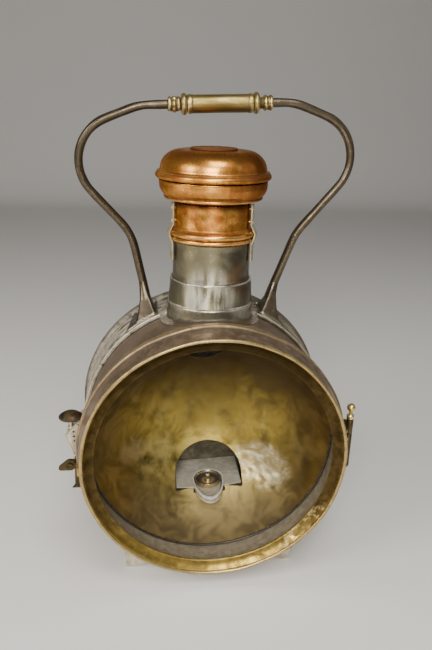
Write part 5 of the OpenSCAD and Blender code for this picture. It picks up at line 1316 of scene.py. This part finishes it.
def bent_line(corners, bends, step):
    """A line with round bends: each corner gives way to the circle of its radius that touches both sides."""
    corners = np.array(corners, float)
    ways = np.diff(corners, axis=0)
    heads = np.degrees(np.arctan2(ways[:, 1], ways[:, 0]))
    out = [corners[:1]]
    for i in range(1, len(corners) - 1):
        turn = (heads[i] - heads[i - 1] + 180) % 360 - 180
        ahead = ways[i - 1] / np.linalg.norm(ways[i - 1])
        start = corners[i] - ahead * bends[i] * np.tan(np.radians(abs(turn) / 2))
        side = np.sign(turn)
        centre = start + np.array([-ahead[1], ahead[0]]) * side * bends[i]
        first = heads[i - 1] - side * 90
        out.append(arc(centre, bends[i], first, first + turn,
            max(4, int(abs(np.radians(turn)) * bends[i] / step))))
    out.append(corners[-1:])
    return resample(np.vstack(out), step, False)


def flare(side):
    """The forged flare at the end of the rod: sections from a circle round the rod down to the outline of its
    foot on the band. Centres fall evenly, and the outline takes over with the power 1.8 of the way down."""
    foot, aim = (np.array(HANDLE_LINE[i]) for i in ((0, 1) if side < 0 else (7, 6)))
    way = (aim - foot) / np.linalg.norm(aim - foot)
    top = foot + way * (10 + FLARE_H)
    t = np.linspace(0, 2 * np.pi, 72, endpoint=False)
    front, back = BAND_Y + 3.2, HANDLE_Y + FLARE_BACK
    corners = np.array([[FLARE_OUT, front], [FLARE_BACK_OUT, back], [-FLARE_IN, back], [-FLARE_IN, front]])
    outline = resample(fillet(corners, 4.0, True, 6), 0.8)
    mid = corners.mean(0)
    angle = np.arctan2(outline[:, 1] - mid[1], outline[:, 0] - mid[0])
    order = np.argsort(angle)
    x = side * (FOOT_X + np.interp(t, angle[order], outline[order, 0], period=2 * np.pi))
    y = np.interp(t, angle[order], outline[order, 1], period=2 * np.pi)
    low = np.stack([x, y, np.sqrt((BRACKET_R + 0.1) ** 2 - x**2)], 1)
    hub = np.array([side * (FOOT_X + mid[0]), mid[1], np.sqrt(BRACKET_R**2 - (FOOT_X + mid[0]) ** 2)])
    across = side * np.array([way[1], -way[0]])

    def ring(place, r):
        return np.stack([place[0] + across[0] * r * np.cos(t), HANDLE_Y + r * np.sin(t),
            place[1] + across[1] * r * np.cos(t)], 1)

    high = ring(top, ROD_R + 0.15)
    s = np.linspace(0, 1, 30)[:, None, None]
    take = s**1.8
    centre = high.mean(0) * (1 - s) + hub * s
    body = centre + (high - high.mean(0)) * (1 - take) + (low - hub) * take
    body = body + 0.25 * waves(body, 14, 62)[..., None] * np.array([side * 0.8, -0.6, 0]) * (1 - s) * s * 3
    rows = np.concatenate([ring(top + way * 5, ROD_R - 0.8)[None], body, (low - [0, 0, 1])[None]])
    wear = np.zeros(len(rows))
    wear[[-3, -2]] = 0.3, 0.5
    return skin(rows, (False, True), (True, True), wear[:, None])


class LANTERN_OT_handle(Operator):
    """Builds the bow handle's rod, its foot plates, flared ends and rivets"""

    bl_idname = "lantern.handle"
    bl_label = "Handle"

    def execute(self, context):
        line = bent_line(HANDLE_LINE, HANDLE_BENDS, 2.5)
        line[0] += (line[1] - line[0]) / np.linalg.norm(line[1] - line[0]) * 6
        line[-1] += (line[-2] - line[-1]) / np.linalg.norm(line[-2] - line[-1]) * 6
        for _ in range(BEND_SMOOTHING):
            line[1:-1] = line[1:-1] * 0.5 + (line[:-2] + line[2:]) * 0.25
        path = np.stack([line[:, 0], np.full(len(line), HANDLE_Y), line[:, 1]], 1)
        low = np.clip((200 - path[:, 2]) / 70, 0, 1)
        r = ROD_R - 0.12 + low * 0.3 + size("rod_wave") * waves(path, 22, 61)
        cover("handle_rod", [sweep(path, r, 28)], "iron", "drum")

        for side, name in ((-1, "left"), (1, "right")):
            def corner(s, t, side=side):
                x0, x1 = FOOT_X - 8, (FOOT_X + 27) * (1 - s) + (FOOT_X + 18) * s
                x = side * (x0 + (x1 - x0) * t)
                return x, (BAND_Y + 2) + (HANDLE_Y + 18 - BAND_Y - 2) * s + 0 * t

            plate = slab(corner, 1.6, lambda x, y: np.sqrt((BAND_R + 0.05) ** 2 - x**2), (24, 24))
            cover("bracket_" + name, [plate, flare(side)], "iron", "drum")
        x = np.array([s * (FOOT_X - 3.5 + i * 8.5) for s in (-1, 1) for i in range(3)])
        z = np.sqrt(BRACKET_R**2 - x**2)
        places = np.stack([x, np.full(6, HANDLE_Y + 13.5), z], 1)
        normals = np.stack([x, 0 * x, z], 1)
        piece("bracket_rivet_heads", rivet_heads(places, normals), finish("tin"), "drum", ("bracket_rivets",))
        return {"FINISHED"}


class LANTERN_OT_grip(Operator):
    """Builds the grip, its collars and the ferrules beside them"""

    bl_idname = "lantern.grip"
    bl_label = "Grip"

    def execute(self, context):
        a, b = (np.array(HANDLE_LINE[i]) for i in (3, 4))
        way = (b - a) / np.linalg.norm(b - a)
        mid = (a + b) / 2 + way * GRIP_OFF
        along = (way[0], 0, way[1])
        axis = ((mid[0], HANDLE_Y, mid[1]), along, (0, 1, 0))
        half, bore = GRIP_LEN / 2, ROD_R + 0.1
        line = fillet([[bore, -half], [GRIP_R - 0.2, -half], [GRIP_R + 0.5, -half + 1.2],
            [GRIP_R + 0.5, -half + 4.2], [GRIP_R, -half + 5.0], [GRIP_R, half - 5.0],
            [GRIP_R + 0.5, half - 4.2], [GRIP_R + 0.5, half - 1.2], [GRIP_R - 0.2, half], [bore, half]], 0.6)
        wave = dented(axis, [(30, 0.1, 63)])
        cover("grip_sleeve", [lathe(resample(line, 2), axis, 64, warp=wave)], "grip", "grip")
        start = half + 0.4
        collar = np.vstack([[[bore, start]], arc((COLLAR_R - 2.83, start + 2.8), 2.8, -90, 90, 13),
            [[bore, start + COLLAR_W]]])
        mirror = collar * [1, -1]
        cover("grip_collars", [lathe(collar, axis, 64), lathe(mirror, axis, 64)], "grip", "drum")
        end = start + COLLAR_W
        left = np.vstack([[[bore, end]], arc((FERRULE_R - 2.6, end + 2.6), 2.2, -80, 50, 9),
            arc((FERRULE_R - 2.6, end + 6.9), 2.4, -50, 50, 9), arc((FERRULE_R - 2.6, end + 11.4), 2.2, -50,
            85, 9), [[bore, end + FERRULE_LEN]]])
        worn = dented(axis, [(6, 0.45, 64), (12, 0.3, 65)])
        cover("ferrule_left", [lathe(left * [1, -1], axis, 64, warp=worn)], "grip", "drum")
        right = np.vstack([[[bore, end], [FERRULE_R - 2.2, end], [FERRULE_R - 2.2, end + 4.2],
            [FERRULE_R - 1, end + 4.8]], arc((FERRULE_R - 2, end + FERRULE_LEN - 7.4), 2, -40, 60, 7),
            arc((FERRULE_R - 2, end + FERRULE_LEN - 2), 2, -60, 88, 9), [[bore, end + FERRULE_LEN]]])
        cover("ferrule_right", [lathe(right, axis, 64)], "grip", "drum")
        return {"FINISHED"}


class LANTERN_OT_air_inlet(Operator):
    """Builds the air inlet box, its strip, bush, damper spindle and mushroom cap"""

    bl_idname = "lantern.air_inlet"
    bl_label = "Air inlet"

    def execute(self, context):
        dress("inlet_box", "pale", 0.2)
        dress("inlet_plate", "pale", 0.0)
        dress("inlet_strip", "bright", 0.2)
        axis = upright(*SPINDLE)
        bore = SPINDLE_R + 0.05
        bush = fillet([[bore, 12.6], [BUSH_R, 12.6], [BUSH_R, BUSH_Z - 1.2], [BUSH_R + 0.9, BUSH_Z - 1.2],
            [BUSH_R + 0.9, BUSH_Z], [bore, BUSH_Z]], 0.25)
        cover("spindle_bush", [lathe(bush, axis, 32)], "bright", "drum")
        foot = BUSH_Z - 15
        rod = fillet([[0.2, foot], [SPINDLE_R, foot], [SPINDLE_R, CAP_Z + 0.6], [0.2, CAP_Z + 0.6]], 0.3,
            False)
        cover("damper_spindle", [closed_lathe(rod, axis, 32)], "tin", "damper")
        dome_r = (CAP_R**2 + CAP_H**2) / (2 * CAP_H)
        reach = np.degrees(np.arcsin((CAP_R - 1.2) / dome_r))
        line = np.vstack([arc((0, CAP_Z + CAP_H - dome_r), dome_r, 89, 90 - reach, 12),
            arc((CAP_R - 1.2, CAP_Z), 1.2, 60, -120, 9), [[CAP_R - 2.4, CAP_Z + 0.3], [0.6, CAP_Z + 0.5]]])
        cover("mushroom_cap", [closed_lathe(line, axis, 64)], "brown", "damper")
        return {"FINISHED"}


class LANTERN_OT_catch(Operator):
    """Builds the catch's bracket, thumb-piece and screw"""

    bl_idname = "lantern.catch"
    bl_label = "Catch"

    def execute(self, context):
        dress("catch_bracket", "dark_brass", 0.3)
        dress("catch_screw", "dark_brass", 0.15)
        dress("catch_lever", "dark_brass", 0.4)
        return {"FINISHED"}


class LANTERN_OT_cradles(Operator):
    """Finishes the two cradles and their rivets"""

    bl_idname = "lantern.cradles"
    bl_label = "Cradles"

    def execute(self, context):
        dress("front_cradle rear_cradle", "pale", 0.0)
        dress("cradle_rivets", "tin", 0.0)
        return {"FINISHED"}


class LANTERN_OT_stage(Operator):
    """Sets the floor, the lights and the camera"""

    bl_idname = "lantern.stage"
    bl_label = "Stage"

    def execute(self, context):
        s = np.linspace(0, 1, 60)[:, None]
        x = np.linspace(-FLOOR_HALF, FLOOR_HALF, 3)[None]
        # The floor sweeps up into the backdrop far behind the lantern, on a quarter of an ellipse
        rise = (s - FLOOR_SHARE) / (1 - FLOOR_SHARE) * np.pi / 2
        flat = s < FLOOR_SHARE
        y = np.where(flat, FLOOR_FRONT + s / FLOOR_SHARE * FLOOR_FLAT,
            FLOOR_FRONT + FLOOR_FLAT + SWEEP_DEPTH * np.sin(rise))
        z = np.where(flat, 0, SWEEP_HEIGHT * (1 - np.cos(rise)))
        points = np.stack([x + 0 * s, y + 0 * x, z + 0 * x - ORIGIN[2] / MM], -1)
        floor = mesh_object("studio_floor", [skin(points, (False, False), flip=True)])
        floor.data.materials.append(finish("floor"))

        for name, place, aim, width, power, tone in LIGHTS:
            data = bpy.data.lights.new(name, "AREA")
            data.energy, data.size, data.color = power, width, tone
            lamp = bpy.data.objects.new(name, data)
            place, ahead = np.array(place), np.subtract(aim, place)
            ahead = ahead / np.linalg.norm(ahead)
            right = np.cross(ahead, [0, 0, 1])
            right /= np.linalg.norm(right)
            lamp.matrix_world = looking(right, np.cross(right, ahead), ahead, place)
            bpy.context.scene.collection.objects.link(lamp)
        world = bpy.data.worlds.new("studio")
        world.use_nodes = True
        back = world.node_tree.nodes["Background"].inputs
        back[0].default_value = (WORLD_GREY, WORLD_GREY, WORLD_GREY, 1)
        back[1].default_value = WORLD_STRENGTH
        bpy.context.scene.world = world

        data = bpy.data.cameras.new("photo_view")
        data.sensor_fit, data.sensor_height = "VERTICAL", SENSOR
        data.lens, data.clip_end = SENSOR * FOCAL_PIXELS / PHOTO_HEIGHT, 50
        camera = bpy.data.objects.new("photo_view", data)
        yaw, pitch, roll = np.radians(CAMERA_TURN)
        ahead = np.array([np.sin(yaw) * np.cos(pitch), np.cos(yaw) * np.cos(pitch), -np.sin(pitch)])
        right = np.array([np.cos(yaw), -np.sin(yaw), 0])
        up = np.cross(right, ahead)
        right, up = np.cos(roll) * right + np.sin(roll) * up, -np.sin(roll) * right + np.cos(roll) * up
        camera.matrix_world = looking(right, up, ahead, to_frame(np.array(CAMERA_PLACE)))
        bpy.context.scene.collection.objects.link(camera)
        bpy.context.scene.camera = camera
        return {"FINISHED"}


def looking(right, up, ahead, place):
    """The matrix of an object at a place whose X, Y and -Z point right, up and ahead."""
    turn = np.eye(4)
    turn[:3] = np.stack([right, up, -ahead, place], 1)
    return Matrix(turn.tolist())


OPERATORS = (LANTERN_OT_stage, LANTERN_OT_drum, LANTERN_OT_door, LANTERN_OT_hinge, LANTERN_OT_reflector,
    LANTERN_OT_burner, LANTERN_OT_chimney, LANTERN_OT_copper_top, LANTERN_OT_handle, LANTERN_OT_grip,
    LANTERN_OT_air_inlet, LANTERN_OT_catch, LANTERN_OT_cradles)


class LANTERN_PT_main(Panel):
    """Lists the lantern's pieces, sizes and colours"""

    bl_idname = "LANTERN_PT_main"
    bl_label = "Locomotive Lantern"
    bl_space_type = "VIEW_3D"
    bl_region_type = "UI"
    bl_category = "Lantern"

    def draw(self, context):
        for group in ("lantern_sizes", "lantern_colours"):
            box = self.layout.box()
            for key in getattr(context.scene, group).__annotations__:
                box.prop(getattr(context.scene, group), key)
        for operator in OPERATORS:
            self.layout.operator(operator.bl_idname)


CLASSES = (LanternSizes, LanternColours, *OPERATORS, LANTERN_PT_main)


def register():
    for cls in CLASSES:
        bpy.utils.register_class(cls)
    bpy.types.Scene.lantern_sizes = PointerProperty(type=LanternSizes)
    bpy.types.Scene.lantern_colours = PointerProperty(type=LanternColours)


def unregister():
    del bpy.types.Scene.lantern_colours
    del bpy.types.Scene.lantern_sizes
    for cls in reversed(CLASSES):
        bpy.utils.unregister_class(cls)


def main():
    """Builds every piece."""
    register()
    for operator in OPERATORS:
        group, name = operator.bl_idname.split(".")
        getattr(getattr(bpy.ops, group), name)()
    bpy.context.view_layer.update()


if __name__ == "__main__":
    main()
